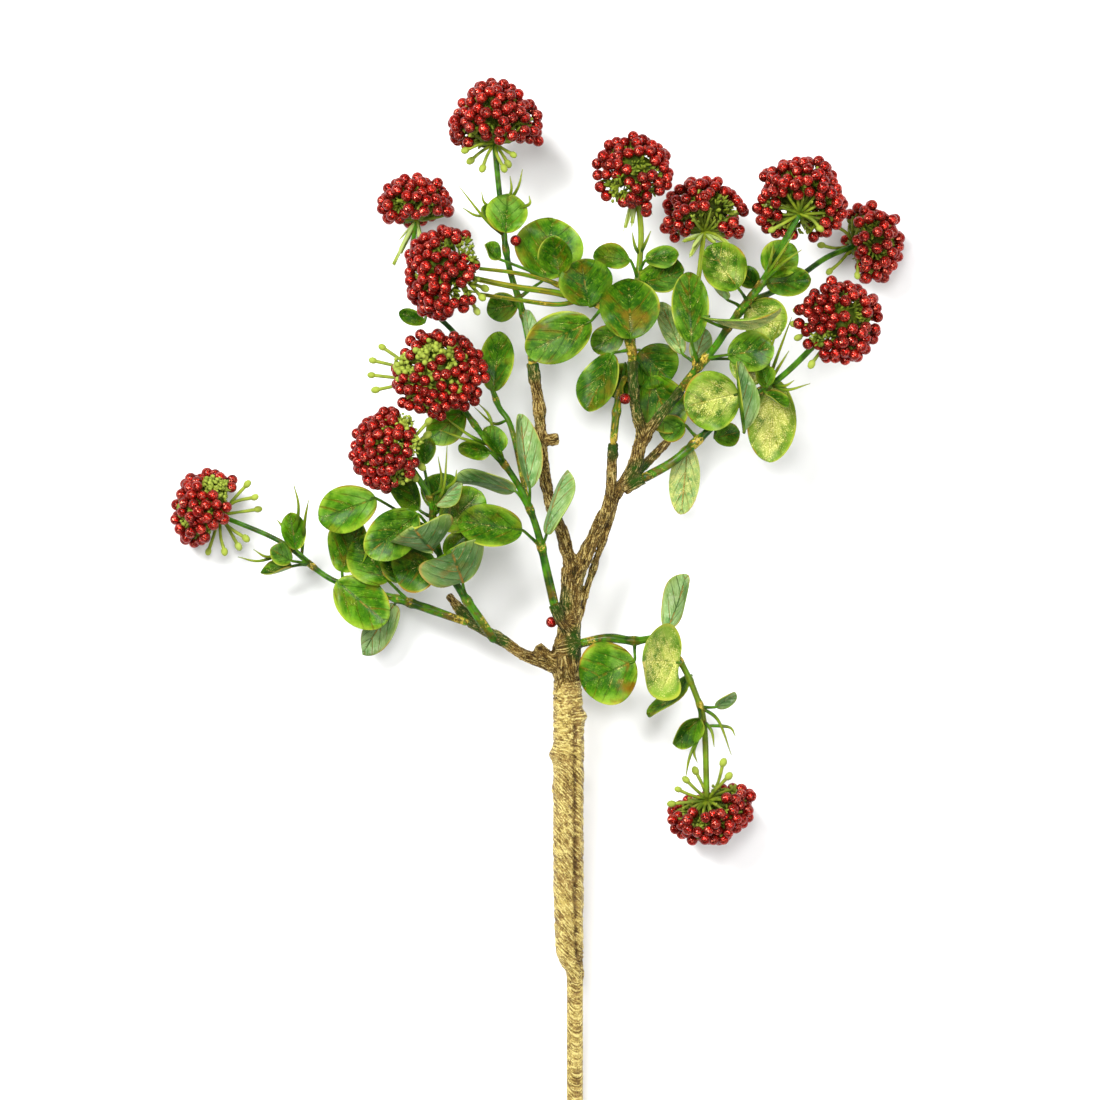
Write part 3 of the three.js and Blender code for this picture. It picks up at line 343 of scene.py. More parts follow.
SPRAYS["spray_right_front"] = {
    "stems": [
        ([(25.8, 283.3, 44.5), (36, 289, 44), (46, 297.5, 44.5), (54, 305, 44.5), (64, 313, 45),
          (73, 318, 46), (82, 325.5, 48), (96, 340, 51.6)], [2.1, 1.8, 1.5, 1.4, 1.3, 1.3]),
    ],
    "leaves": [
        ((63, 312.5, 45.5), (61, 314.5, 50.5), (40.5, 309.5, 52.5), 22, (0, 0, 1), 12, 1.5, "goldvein"),
        ((64, 313, 45.5), (62.8, 300, 54), (60, 326.5, 60), 14, (0.85, 0, 0.5), 36, 0.5, "turned"),
        ((72, 317.5, 46), (74.5, 320, 41), (72.5, 289, 36), 18, (0, 0, 1), 12, 2, "gold"),
        ((43, 295, 44.4), (42, 295.5, 42), (39.5, 269.5, 37), 11.5, (0, 0, 1), 16, 1.5, "turned_gold"),
        ((45, 297, 44), (41, 303, 40), (31, 300.5, 36), 10, (0, 0, 1), 10, 0.5, "green"),
        ((52, 303, 44), (52, 298, 41), (61.5, 300.5, 37), 9, (0, 0, 1), 10, 0.5, "green"),
        ((70, 316.3, 46), (71.5, 317, 51), (68.5, 325, 53.5), 9, (0.4, 0.1, 0.9), 26, 0.5, "green"),
        ((70, 316.3, 46), (71, 315, 49), (79.5, 309.5, 50.5), 7, (0.3, 0.7, 0.6), 26, 0.5, "green"),
    ],
    "needles": [
        [(75, 313, 49.5), (79, 316, 51), (87.5, 318.3, 52)],
        [(76, 314, 50), (78, 317.5, 51.5), (81.5, 319.5, 53)],
        [(71, 317, 46), (75, 328, 51), (80.5, 343, 57)],
        [(71, 317, 46), (75.5, 324, 50), (79.5, 330.5, 54)],
        [(71, 317, 46), (72.5, 330, 53), (76, 341, 60)],
    ],
    "knobs": {
        "head_right_front": [(83, 335.5, 52), (81.5, 340.5, 56), (88, 325.5, 52), (82.5, 345.5, 54)],
    },
}
SPRAYS["spray_stub"] = {
    "stems": [
        ([(14, 297, 49.4), (15, 307, 49.5), (16.5, 316, 48), (18.5, 321, 46)], [1.7, 1.7, 1.3, 1]),
    ],
    "leaves": [
        ((16.5, 315, 48), (18.5, 326, 43.5), (14.5, 313, 43), 12, (0, 0, 1), 10, 0.5, "green"),
        ((18, 320, 46.5), (24, 318, 36), (27.5, 304.5, 34.5), 11, (0, 0, 1), 10, 0.5, "green"),
    ],
    "needles": [],
    "knobs": {},
}
SPRAYS["spray_low_right"] = {
    "stems": [
        ([(2.9, 221.3, 34), (12, 223, 35.5), (22, 222, 35.5), (32, 222.5, 34), (39, 214.5, 32),
          (45, 202, 29), (48.3, 190, 26.5), (49.3, 163, 22.3)], [1.9, 2, 1.6, 1.4, 1.3, 1.3, 1.3]),
    ],
    "leaves": [
        ((23, 221.5, 35.7), (22, 214.5, 39), (2, 205.5, 40.5), 23.5, (0, 0, 1), 8, 1.5, "patched"),
        ((39, 214, 32), (39, 213.8, 36), (24.8, 214.5, 50), 28, (0.68, 0, 0.73), 10, 1.5, "gold"),
        ((32.5, 222, 34), (34.5, 226.5, 36.5), (41.5, 247, 40), 13, (-0.6, 0.2, 0.75), 24, 1, "turned"),
        ((43, 206.5, 30), (43.5, 209, 27), (27, 193.5, 26), 10, (-0.5, 0.6, 0.55), 20, 1.5, "mellow"),
        ((47, 197.5, 28.5), (46.5, 193, 32), (36.5, 183, 33), 12, (0.4, -0.4, 0.8), 28, 0.5, "green"),
        ((47, 197.5, 28.5), (52.5, 197, 28), (60.5, 202, 27), 7, (0.4, -0.6, 0.6), 10, 0.5, "turned"),
    ],
    "needles": [
        [(43.5, 187, 32.5), (43, 179, 31), (41.3, 170.5, 29)],
        [(44.5, 187, 32), (44.5, 181, 30), (45.7, 176, 29)],
        [(47.5, 198, 28.5), (53.5, 192, 29), (58.5, 179, 27)],
        [(52.5, 194.5, 29), (51, 188, 30), (52, 182, 30)],
        [(54, 190, 28.8), (57.5, 189.5, 29), (60, 186, 30)],
    ],
    "knobs": {
        "head_low_right": [
            (45, 173, 25), (41.5, 169.5, 22), (38.5, 166, 27), (36, 160.5, 24), (55.5, 176, 23),
            (57.5, 171, 28),
        ],
    },
}

# The bark's branches, stubs and knots: routes and radii.
BARK_ROUTES = [
    ([(-3.4, 206.4, 28.2), (-3.6, 214, 29.5), (-2.2, 232, 33), (-1.2, 249, 37)], [4.9, 5.3, 4.4, 4.2]),
    ([(-1, 246, 36.3), (-5, 262, 39.5), (-9, 272, 42), (-12.5, 287, 45), (-13, 297, 47), (-14, 310, 49),
      (-16.2, 325.9, 50.9)], [3, 2.6, 2.5, 2.5, 2.4, 2.2]),
    ([(0, 246, 36.3), (5, 258, 38.5), (9, 266, 40), (17, 280, 42), (22, 288, 43), (25, 300, 44)],
     [3, 2.6, 2.5, 2.5, 2.7]),
    ([(24.5, 297, 43.8), (32, 307, 44.5), (39.2, 316.2, 45.2)], [2.6, 2.3, 2]),
    ([(24.8, 298, 43.8), (22, 312, 47), (21, 327, 49.4)], [2.4, 2.1, 2]),
    ([(23, 285, 42), (30, 292.5, 37), (37.5, 300, 32.5)], [2.1, 1.7, 1.5]),
    ([(11, 270, 41), (13, 280, 44), (13.8, 296, 49.2)], [2, 2.1, 2]),
    ([(-2, 210, 28.5), (-10, 213, 30), (-20, 217, 31.5), (-30, 223.5, 32), (-40.5, 228.7, 31.4)],
     [3.4, 2.7, 2.4, 2.4, 1.7]),
    ([(-32, 224.5, 32), (-42, 232, 28), (-48, 239, 26)], [1.9, 2, 1.6]),
    ([(-8, 213, 30), (-14.5, 219.7, 31.5)], [2.6, 2.1]),
    ([(-12.5, 297, 47), (-6.8, 297.5, 47)], [1.9, 2.1]),
    ([(-12.4, 286, 45), (-17.5, 294, 43)], [1.4, 1]),
    ([(0, 228, 32), (5.5, 246, 33.6), (12, 265, 38.5), (15.5, 276, 41)], [1.6, 1.5, 1.25]),
    ([(7, 264, 40.5), (9.8, 270.5, 40.5)], [2, 1.6]),
    ([(-3, 226, 33.5), (-6, 230.5, 39.2), (-8, 235.6, 41)], [2.7, 2.4, 2.1]),
    ([(18, 279, 44.2), (25.1, 282.9, 44.5)], [2.4, 2.2]),
    ([(-3, 220.2, 33), (2.25, 221.2, 33.9)], [2.6, 2.2]),
]
# The bark's lower end laps over the tape in uneven tongues.
TAPE_LAPS = [
    ([(-3.2, 202.8, 28.0), (-3.4, 208, 28.6), (-3.6, 214, 29.5)], [4.9, 5.1, 5.2]),
    ([(-6.4, 199.5, 29.8), (-6.0, 205, 30.6), (-5.0, 213, 31.5)], [1.3, 2.0, 2.4]),
    ([(-0.6, 200.8, 30.6), (-1.4, 206, 31.2), (-2.4, 214, 32)], [1.2, 1.9, 2.4]),
]
# Stalks that are brushed with gold all over, by their place in the spray's list.
GOLDEN_STALKS = {("spray_centre", 0), ("spray_centre", 1), ("spray_centre", 2), ("spray_stub", 0)}
# Stalks that turn pale towards their head, and how far.
PALE_STALKS = {("spray_centre", 3): 0.75, ("spray_right", 1): 0.8, ("spray_low_right", 0): 0.35}
# Single berries stuck on the stems.
STRAY_BEADS = [(-22.6, 372, 44.3), (18.3, 312.6, 51.2), (-9.2, 229, 31.5)]


def unit(rows):
    """Each row of an array, at length 1."""
    return rows / np.maximum(np.linalg.norm(rows, axis=-1, keepdims=True), 1e-9)


def at(x, y, z):
    """Three coordinates, each one value or many, as places."""
    return np.stack(np.broadcast_arrays(x, y, z), -1)


def lattice(cells, seed):
    """A random value from 0 to 1 for each whole-numbered cell."""
    x, y, z = cells[..., 0], cells[..., 1], cells[..., 2]
    mixed = (x * 73856093) ^ (y * 19349663) ^ (z * 83492791) ^ (seed * 2654435761)
    mixed = (mixed ^ (mixed >> 13)) * 1274126177
    return ((mixed ^ (mixed >> 16)) & 0xFFFF) / 65535.0


def noise(places, seed=0):
    """Smooth noise from 0 to 1 at each place, with bumps one unit apart."""
    places = np.asarray(places, float)
    low = np.floor(places).astype(np.int64)
    part = places - low
    part = part * part * (3 - 2 * part)
    total = np.zeros(places.shape[:-1])
    for corner in range(8):
        step = np.array([corner & 1, corner >> 1 & 1, corner >> 2 & 1])
        total += np.where(step, part, 1 - part).prod(-1) * lattice(low + step, seed)
    return total


def ridges(places, seed=0):
    """Narrow crests from 0 to 1, for bark and crumpled tape."""
    broad, fine = (1 - np.abs(2 * noise(places * size, seed + step) - 1) for size, step in ((1, 0), (2.1, 7)))
    return broad * 0.65 + fine * 0.35


def bell(distance, width):
    """1 at distance 0, and falling off smoothly to both sides."""
    return np.exp(-(distance / width) ** 2)


def curve_points(route, steps):
    """Places along the smooth curve through the route's points, evenly in its own parameter."""
    points = np.asarray(route, float)
    points = np.vstack([2 * points[0] - points[1], points, 2 * points[-1] - points[-2]])
    along = np.linspace(0, len(route) - 1, steps + 1)
    k = np.minimum(along.astype(int), len(route) - 2)
    t = (along - k)[:, None]
    before, start, end, after = points[k], points[k + 1], points[k + 2], points[k + 3]
    leave, arrive = (end - before) / 2, (after - start) / 2
    return (start + leave * t + (3 * (end - start) - 2 * leave - arrive) * t ** 2
            + (2 * (start - end) + leave + arrive) * t ** 3)


def route_length(route):
    return np.linalg.norm(np.diff(np.asarray(route, float), axis=0), axis=1).sum()


def spread(values, steps):
    """Values read off evenly along a list, in steps."""
    return np.interp(np.linspace(0, len(values) - 1, steps + 1), range(len(values)), values)


def ring_frames(centres):
    """For each point of a line, its direction and two directions across it that don't twist."""
    ahead = unit(np.gradient(centres, axis=0))
    side = np.array([0.31, 0.17, 0.93])
    across = []
    for direction in ahead:
        side = side - direction * side.dot(direction)
        side = side / np.linalg.norm(side)
        across.append(side)
    across = np.array(across)
    return ahead, across, np.cross(ahead, across)


def rings_round(centres, sides):
    """Rings round a line: the line's directions, the angles round it, and the way out at each angle."""
    ahead, across, beside = ring_frames(centres)
    angle = 2 * np.pi * np.arange(sides) / sides
    out = across[:, None] * np.cos(angle)[:, None] + beside[:, None] * np.sin(angle)[:, None]
    return ahead, angle, out


def grid_faces(rows, columns, closed):
    """Four-cornered faces between neighbouring rows of points."""
    row, near = np.meshgrid(np.arange(rows - 1) * columns, np.arange(columns if closed else columns - 1),
                            indexing="ij")
    far = (near + 1) % columns
    return np.stack([row + near, row + far, row + columns + far, row + columns + near], -1).reshape(-1, 4)


def fan(middle, first, sides):
    """Three-cornered faces from a middle point to the ring that starts at the first."""
    ring = np.arange(sides)
    return np.stack([np.full(sides, middle), first + ring, first + (ring + 1) % sides], -1)


def rod_faces(rows, sides):
    """The faces of a rod whose two end points follow its rings in the list."""
    count = rows * sides
    root_end, tip_end = fan(count, 0, sides)[:, [0, 2, 1]], fan(count + 1, count - sides, sides)
    return [grid_faces(rows, sides, True), root_end, tip_end]


def rod_mesh(centres, radii, sides):
    """A round rod through the centres, closed at both ends."""
    ahead, _, out = rings_round(centres, sides)
    places = centres[:, None] + out * radii[:, None, None]
    ends = [centres[0] - ahead[0] * radii[0] * 0.25, centres[-1] + ahead[-1] * radii[-1] * 0.35]
    return np.vstack([places.reshape(-1, 3), ends]), rod_faces(len(centres), sides)


def place_object(name, data):
    """A mesh, lamp or camera as an object in the scene."""
    thing = bpy.data.objects.new(name, data)
    bpy.context.scene.collection.objects.link(thing)
    return thing


def finish_mesh(name, mesh, materials, **tables):
    """Shade the mesh smooth, give it its materials and its tables of values, and place it."""
    for title, rows in tables.items():
        mesh.attributes.new(title, "FLOAT_VECTOR", "POINT").data.foreach_set("vector", rows.ravel())
    mesh.shade_smooth()
    for material in materials:
        mesh.materials.append(material)
    return place_object(name, mesh)


class Piece:
    """Vertices, faces and two tables of values, collected for one mesh. The tables drive the paint."""

    def __init__(self):
        self.places, self.faces, self.spots, self.styles, self.finishes = [], [], [], [], []
        self.count = 0

    def add(self, places, faces, spot=(0, 0, 0), style=(0, 0, 0), finish=0):
        places = np.asarray(places, float).reshape(-1, 3)
        self.places.append(places)
        self.spots.append(np.broadcast_to(np.asarray(spot, float), places.shape))
        self.styles.append(np.broadcast_to(np.asarray(style, float), places.shape))
        for corners in faces:
            self.faces.append(corners + self.count)
            self.finishes.append(np.full(len(corners), finish))
        self.count += len(places)

    def build(self, name, materials):
        """The mesh object, in metres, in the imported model's place."""
        sizes = np.concatenate([np.full(len(corners), corners.shape[1]) for corners in self.faces])
        loops = np.concatenate([corners.ravel() for corners in self.faces])
        mesh = bpy.data.meshes.new(name)
        for part, title, count, values in (
                (mesh.vertices, "co", self.count, ((np.vstack(self.places) + SHIFT) / 1000).ravel()),
                (mesh.loops, "vertex_index", len(loops), loops.astype(np.int32)),
                (mesh.polygons, "loop_start", len(sizes), (np.cumsum(sizes) - sizes).astype(np.int32))):
            part.add(count)
            part.foreach_set(title, values)
        mesh.polygons.foreach_set("material_index", np.concatenate(self.finishes).astype(np.int32))
        mesh.update(calc_edges=True)
        mesh.validate()
        return finish_mesh(name, mesh, materials, spot=np.vstack(self.spots), style=np.vstack(self.styles))


def add_rod(piece, route, radii, sides, gap, style, finish, joints=()):
    """A stalk along the route, thicker at its joints. Its first spot value goes from 0 to 1 at the tip."""
    length = route_length(route)
    steps = max(3, int(length / gap))
    centres = curve_points(route, steps)
    swell = np.zeros(steps + 1)
    for place in joints:
        swell += bell(np.linalg.norm(centres - place, axis=1), JOINT_WIDTH)
    swell = np.minimum(swell, 1)
    # the root end is drawn in a little where it sinks into what it grows from
    root = np.minimum(1, 0.6 + 0.4 * np.linspace(0, length, steps + 1) / ROOT_LENGTH)
    places, faces = rod_mesh(centres, spread(radii, steps) * root * (1 + 0.3 * swell), sides)
    spot = np.zeros((len(places), 3))
    spot[:-2, 0] = np.repeat(np.linspace(0, 1, steps + 1), sides)
    spot[:-2, 1] = np.repeat(swell, sides)
    spot[:-2, 2] = np.tile(np.arange(sides) / sides, steps + 1)
    spot[-1, 0] = 1
    piece.add(places, faces, spot, style, finish)


def nearest_root(stems, place):
    """The point on the straight runs of a spray's stems that lies nearest to a place."""
    spots = [Vector(a).lerp(Vector(b), share) for route, _ in stems for a, b in zip(route, route[1:])
             for share in (0, 0.2, 0.4, 0.6, 0.8, 1)]
    return np.array(min(spots, key=lambda spot: (spot - Vector(place)).length))


def add_leaf(piece, stems, form, seed):
    """A rounded blade on a short stalk: folded at its midrib, cupped, waved at its rim, thin at its edge."""
    stalk_root, base, tip, width, face, fold, sag, kind = form
    draw = np.random.default_rng(seed)
    base, tip = np.array(base, float), np.array(tip, float)
    length = np.linalg.norm(tip - base)
    forward = (tip - base) / length
    normal = unit(np.array(face, float) - forward * np.array(face, float).dot(forward))
    across = np.cross(forward, normal)
    rows, columns = SMALL_LEAF_GRID if width < SMALL_LEAF else LEAF_GRID
    turn = np.linspace(0.02, math.pi - 0.015, rows)[:, None]
    t = (1 - np.cos(turn)) / 2
    share = np.linspace(-1, 1, columns)
    share = np.sign(share) * np.abs(share) ** 0.85
    # the outline is fuller beyond the middle and drawn to a slight point
    full = np.sin(turn)
    half = width / 2 * (full * (1 + 0.06 * np.cos(turn * 2 + 2.6))) * math.cos(math.radians(fold))
    lift = half * math.tan(math.radians(fold)) * (np.sqrt(share ** 2 + 0.03) - math.sqrt(0.03))
    lift = lift - sag * 4 * (t * (1 - t))
    lift = lift + 0.06 * width * share ** 2 * np.sin(turn * (2 + draw.random()) + draw.random() * 6)
    lift = lift + 0.035 * width * np.sign(share) * share ** 2 * np.sin(turn * 3.3 + draw.random() * 6)
    lift = lift + 0.15 * (draw.random() - 0.35) * width * share ** 4 * full
    sheet = (base + forward * (length * t))[:, None] + across * (half * share)[..., None]
    sheet = sheet + normal * lift[..., None]
    edge = (1 - np.abs(share)) * full
    thick = 0.14 + 0.22 * np.clip(edge * 5, 0, 1)
    rib = 0.22 * bell(share * half, 0.55) * (1 - t)
    style = np.array(LEAF_STYLES[kind]) * (0.75 + 0.5 * draw.random(3))
    spot = at(share * full, t, edge).reshape(-1, 3)
    top = grid_faces(rows, columns, False)
    number = rows * columns
    rim = np.concatenate([np.arange(columns), np.arange(1, rows) * columns + columns - 1,
                          (rows - 1) * columns + np.arange(columns - 2, -1, -1),
                          np.arange(rows - 2, 0, -1) * columns])
    following = np.roll(rim, -1)
    band = np.stack([rim, rim + number, following + number, following], -1)
    upper = (sheet + normal * (thick - 0.5 * rib)[..., None]).reshape(-1, 3)
    lower = (sheet - normal * (thick + rib)[..., None]).reshape(-1, 3)
    front, back = (LEAF_UNDER, LEAF_TOP) if kind.startswith("turned") else (LEAF_TOP, LEAF_UNDER)
    piece.add(upper, [top], spot, style, front)
    piece.add(lower, [top[:, ::-1]], spot, style, back)
    piece.add(np.concatenate([upper, lower]), [band], np.tile(spot * (1, 1, 0), (2, 1)), style, LEAF_TOP)
    root = nearest_root(stems, stalk_root)
    bend = (root + base) / 2 + normal * 0.05 * np.linalg.norm(base - root)
    add_rod(piece, [root, bend, base, base + forward * length * 0.1], [0.95, 0.6, 0.55, 0.4], 7, 0.8,
            (0.1, 0.3, 0), STALK)


def ball(subdivisions):
    """The points and faces of a sphere of radius 1."""
    mesh = bpy.data.meshes.new("ball")
    work = bmesh.new()
    bmesh.ops.create_icosphere(work, subdivisions=subdivisions, radius=1)
    work.to_mesh(mesh)
    work.free()
    places = np.array([vertex.co[:] for vertex in mesh.vertices])
    faces = np.array([polygon.vertices[:] for polygon in mesh.polygons])
    bpy.data.meshes.remove(mesh)
    return places, faces


SMALL_BALL, PLAIN_BALL, FINE_BALL = ball(1), ball(2), ball(3)


def spiral(count, reach, start=0):
    """Ways spread evenly over a ball, from its top down as far as the reach."""
    i = np.arange(count)
    height = 1 - (i + 0.5) / count * reach
    ring = np.sqrt(np.maximum(0, 1 - height ** 2))
    turn = i * GOLDEN_ANGLE + start
    return at(np.cos(turn) * ring, np.sin(turn) * ring, height)


class Head:
    """One head's dome in its own axes: its stalk ends at 0 and +Z is the way it faces."""

    def __init__(self, name):
        base, axis, radius, depth, self.patches, self.hanging = HEADS[name]
        self.name, self.number = name, list(HEADS).index(name)
        turn = Vector((0, 0, 1)).rotation_difference(Vector(axis).normalized())
        self.turn, self.base = np.array(turn.to_matrix()), np.array(base, float)
        self.across = radius - BEAD_RADIUS
        along = (depth - UMBEL_LIFT - BEAD_RADIUS) / (1 - LOWEST)
        self.size = np.array([self.across, self.across, along])
        self.middle = UMBEL_LIFT - (along - BEAD_RADIUS) * LOWEST

    def place(self, places):
        return np.asarray(places) @ self.turn.T + self.base

    def bareness(self, out):
        """From 0 to 1, how far each way out of the dome's middle lies in one of its bare patches."""
        world = unit(out) @ self.turn.T
        bare = np.zeros(len(world))
        for way, reach in self.patches:
            facing = world @ unit(np.array(way, float))
            bare = np.maximum(bare, np.clip((facing - reach) / (1 - reach) * 3, 0, 1))
        return bare

    def hanging_places(self, draw):
        """Berries under the head, on the sides that its table names, clear of the stalk and of each other."""
        found = []
        for side, count, reach in self.hanging:
            toward = self.turn.T @ np.array(side, float)
            middle = math.atan2(toward[1], toward[0])
            wanted = len(found) + count
            for _ in range(HANGING_TRIES):
                if len(found) == wanted:
                    break
                ring = self.across * (0.42 + 0.55 * math.sqrt(draw.random()))
                angle = middle + reach * (2 * draw.random() - 1)
                place = np.array([math.cos(angle) * ring, math.sin(angle) * ring, 1.6 - 2.6 * draw.random()])
                if all(np.linalg.norm(place - other) > 2 * BEAD_RADIUS for other in found):
                    found.append(place)
        return np.array(found).reshape(-1, 3)

    def berry_places(self, draw):
        """Where the berries sit on the dome: clustered, uneven, in several depths."""
        across, _, along = self.size
        count = int(math.pi * across * (across + along) * (1 - LOWEST) / (BEAD_SPACING ** 2 * 0.84))
        out = spiral(count, 1 - LOWEST)
        out = unit(out + draw.normal(0, 0.085, out.shape))
        out[:, 2] = np.maximum(out[:, 2], LOWEST)
        keep = draw.random(count) > self.bareness(out) * 0.93
        keep &= noise(out * 3.1 + 7, 90 + self.number) < (LOOSE_COVER if self.name in LOOSE_HEADS else COVER)
        out = out[keep]
        # each cluster stands a little higher or lower than the next, and some berries hang at the rim
        depth = 1.02 - 0.2 * noise(out * 2.6 + 40, self.number) - 0.12 * draw.random(len(out)) ** 2
        hang = (out[:, 2] < 0.12) & (draw.random(len(out)) < 0.3)
        places = out * self.size * depth[:, None]
        places[hang, 2] -= 0.9 + 2.2 * draw.random(hang.sum())
        places = np.vstack([places, self.hanging_places(draw) - (0, 0, self.middle)])
        limit = np.maximum(np.linalg.norm(places / self.size, axis=1, keepdims=True), 1)
        # neighbours push each other apart until hardly any overlap
        for _ in range(PUSHES):
            apart = places[:, None] - places[None]
            far = np.linalg.norm(apart, axis=-1) + np.eye(len(places)) * 99
            push = np.clip(2 * BEAD_RADIUS * 0.97 - far, 0, None)
            places = places + (apart / far[..., None] * push[..., None]).sum(1) * 0.35
            size = np.linalg.norm(places / self.size, axis=1, keepdims=True)
            places = places / np.maximum(size / limit, 1)
        return places + (0, 0, self.middle)


def add_petal(piece, root, lean, width, draw, style):
    """A small fleshy petal: an oval blade, pointed at its tip."""
    ahead = unit(lean)
    side = unit(np.cross(ahead, draw.normal(0, 1, 3)))
    up = np.cross(side, ahead)
    t = np.array([0, 0.35, 0.8, 1.0])
    wide = np.array([0.3, 0.95, 0.8, 0.08]) * width
    thick = np.array([0.28, 0.3, 0.24, 0.06])
    centres = root + lean * t[:, None] + up * (0.5 * t * t)[:, None]
    ring = [(1, 0), (0.5, 1), (-0.5, 1), (-1, 0), (-0.5, -1), (0.5, -1)]
    places = np.stack([centres + side * (wide * a)[:, None] + up * (thick * b)[:, None] for a, b in ring], 1)
    faces = [grid_faces(4, 6, True)[:, ::-1], np.arange(6)[None], np.arange(23, 17, -1)[None]]
    piece.add(places, faces, at(np.repeat(t, 6), 0, 0), style, PALE)


def add_knob(piece, base, tip, strapped, draw):
    """A bare stalk that has lost its berry, with a pale knob at its end, or broadened into a pale strap."""
    bend = (base + tip) / 2 + draw.normal(0, 0.7, 3)
    add_rod(piece, [base, bend, tip], [0.7, 0.6, 0.75], 7, 1.6, (0.55, 0.35, 0), PALE)
    if strapped:
        add_petal(piece, base + (bend - base) * 0.3, (tip - base) * 0.95, 1.15, draw, (1, 0.2, 0))
        add_petal(piece, base, (tip - base) * 0.8 + draw.normal(0, 1, 3), 0.9, draw, (0.95, 0.2, 0))
    else:
        points, faces = PLAIN_BALL
        along = unit(tip - base)
        stretch = points + np.outer(points @ along, along) * 0.35
        piece.add(stretch * (1.2 + 0.25 * draw.random()) + tip, [faces], (1, 0, 0),
                  (0.55 + 0.35 * draw.random(), 0.35, 0), PALE)


def add_florets(piece, head, draw):
    """Tufts of small pointed petals and round buds between the berries, taller on the bare patches."""
    crowded = head.name in PALE_HEADS
    coarse = head.name == "head_left_fourth"
    points, faces = PLAIN_BALL if coarse else SMALL_BALL
    for tuft, way in enumerate(spiral(TUFTS, 1.2, 1.3)):
        out = unit(way + draw.normal(0, 0.05, 3))
        bare = max(head.bareness(out[None])[0], 0.3 * crowded)
        if bare < 0.2 and tuft % 2:
            continue
        root = out * head.size * (0.6 + 0.2 * bare) + (0, 0, head.middle)
        root[2] = max(root[2], UMBEL_LIFT * 0.6)
        pale = bare * crowded
        bright = 0.05 + 0.5 * pale + 0.3 * draw.random()
        for _ in range((bare > 0.2) * (1 + (pale > 0) + 2 * (pale > 0.4))):
            size = (0.75 if coarse else 0.4) + 0.5 * draw.random()
            place = root + out * (0.3 + (1 + 1.4 * bare) * draw.random()) + draw.normal(0, 0.8, 3)
            piece.add(head.place(points * (size, size, size * 1.25) + place), [faces], (0.8, 0, 0),
                      (min(bright * (1 + draw.random()), 0.83), 0.15, 0.5 * draw.random() * (1 - pale)), PALE)
        for _ in range(3 - 2 * (pale > 0 and coarse) + (pale > 0.5)):
            lean = unit(out + draw.normal(0, 0.6, 3)) * (2.0 + 1.8 * draw.random())
            add_petal(piece, head.place(root), lean @ head.turn.T, 0.5 + 0.4 * draw.random(), draw,
                      (bright, 0.3, 0.5 * draw.random()))


def add_head(berries, stalks, name, knobs):
    """A domed umbel: rays from the stalk's end, a pedicel to each berry, green florets between them."""
    head = Head(name)
    seed = 7 + head.number
    draw = np.random.default_rng(seed)
    places = head.berry_places(draw)
    points, faces = FINE_BALL
    for place in places:
        size = BEAD_RADIUS * (0.98 + 0.1 * draw.random())
        centre = np.clip(head.place(place), BOX_LOW + size + BOX_GAP, BOX_HIGH - size - BOX_GAP)
        berries.add(points * size + centre, [faces], (draw.random(), draw.random(), 0))
    # a rough core of crowded buds, out of which the florets stand, painted dark as the shade deep in the head
    core = points * np.where(points[:, 2:] > 0, 1, 0.1) * (head.size * (0.46, 0.46, 0.56))
    core = core * (0.8 + 0.4 * ridges(points * 3.1, seed))[:, None] + (0, 0, head.middle + 1)
    stalks.add(head.place(core), [faces], (0.2, 0, 0), (0.2, 0.3, 0.85), PALE)
    # rays spread flat under the dome, each with florets along it
    for ray in range(RAYS):
        turn = (ray + 0.9 * draw.random()) / RAYS * 2 * math.pi
        reach = head.across * (0.45 + 0.45 * draw.random())
        end = np.array([math.cos(turn) * reach, math.sin(turn) * reach, 1.5 + 3 * draw.random()])
        add_rod(stalks, head.place([(0, 0, 0.3), end * (0.5, 0.5, 0.25), end]), [0.75, 0.6, 0.4], 6, 2,
                (0.15 + 0.4 * draw.random(), 0.4, 0.5 * draw.random()), PALE)
        for share in (0.45, 0.65, 0.85):
            lean = unit(end + draw.normal(0, 5, 3)) * (1.8 + 1.6 * draw.random())
            add_petal(stalks, head.place(end * share), lean @ head.turn.T, 0.6 + 0.4 * draw.random(), draw,
                      (0.1 + 0.6 * draw.random(), 0.4, 0.5 * draw.random()))
    hubs = spiral(HUBS, 1.05) * (head.size * (0.5, 0.5, 0.45)) + (0, 0, head.middle)
    for hub in hubs:
        add_rod(stalks, head.place([(0, 0, 0), hub * (0.45, 0.45, 0.62), hub]), [0.75, 0.6, 0.55], 6, 2,
                (0.5, 0.3, 0.4), PALE)
    for place in places:
        hub = hubs[np.linalg.norm(hubs - place, axis=1).argmin()]
        bend = (hub + place) / 2 + draw.normal(0, 0.5, 3)
        inner = place + unit(hub - place) * BEAD_RADIUS * 0.8
        add_rod(stalks, head.place([hub, bend, inner]), [0.42, 0.4, 0.7], 5, 2.2, (0.7, 0.3, 0.3), PALE)
    add_florets(stalks, head, draw)
    for tip in knobs:
        add_knob(stalks, head.base, np.array(tip, float), name in STRAPPED_HEADS, draw)


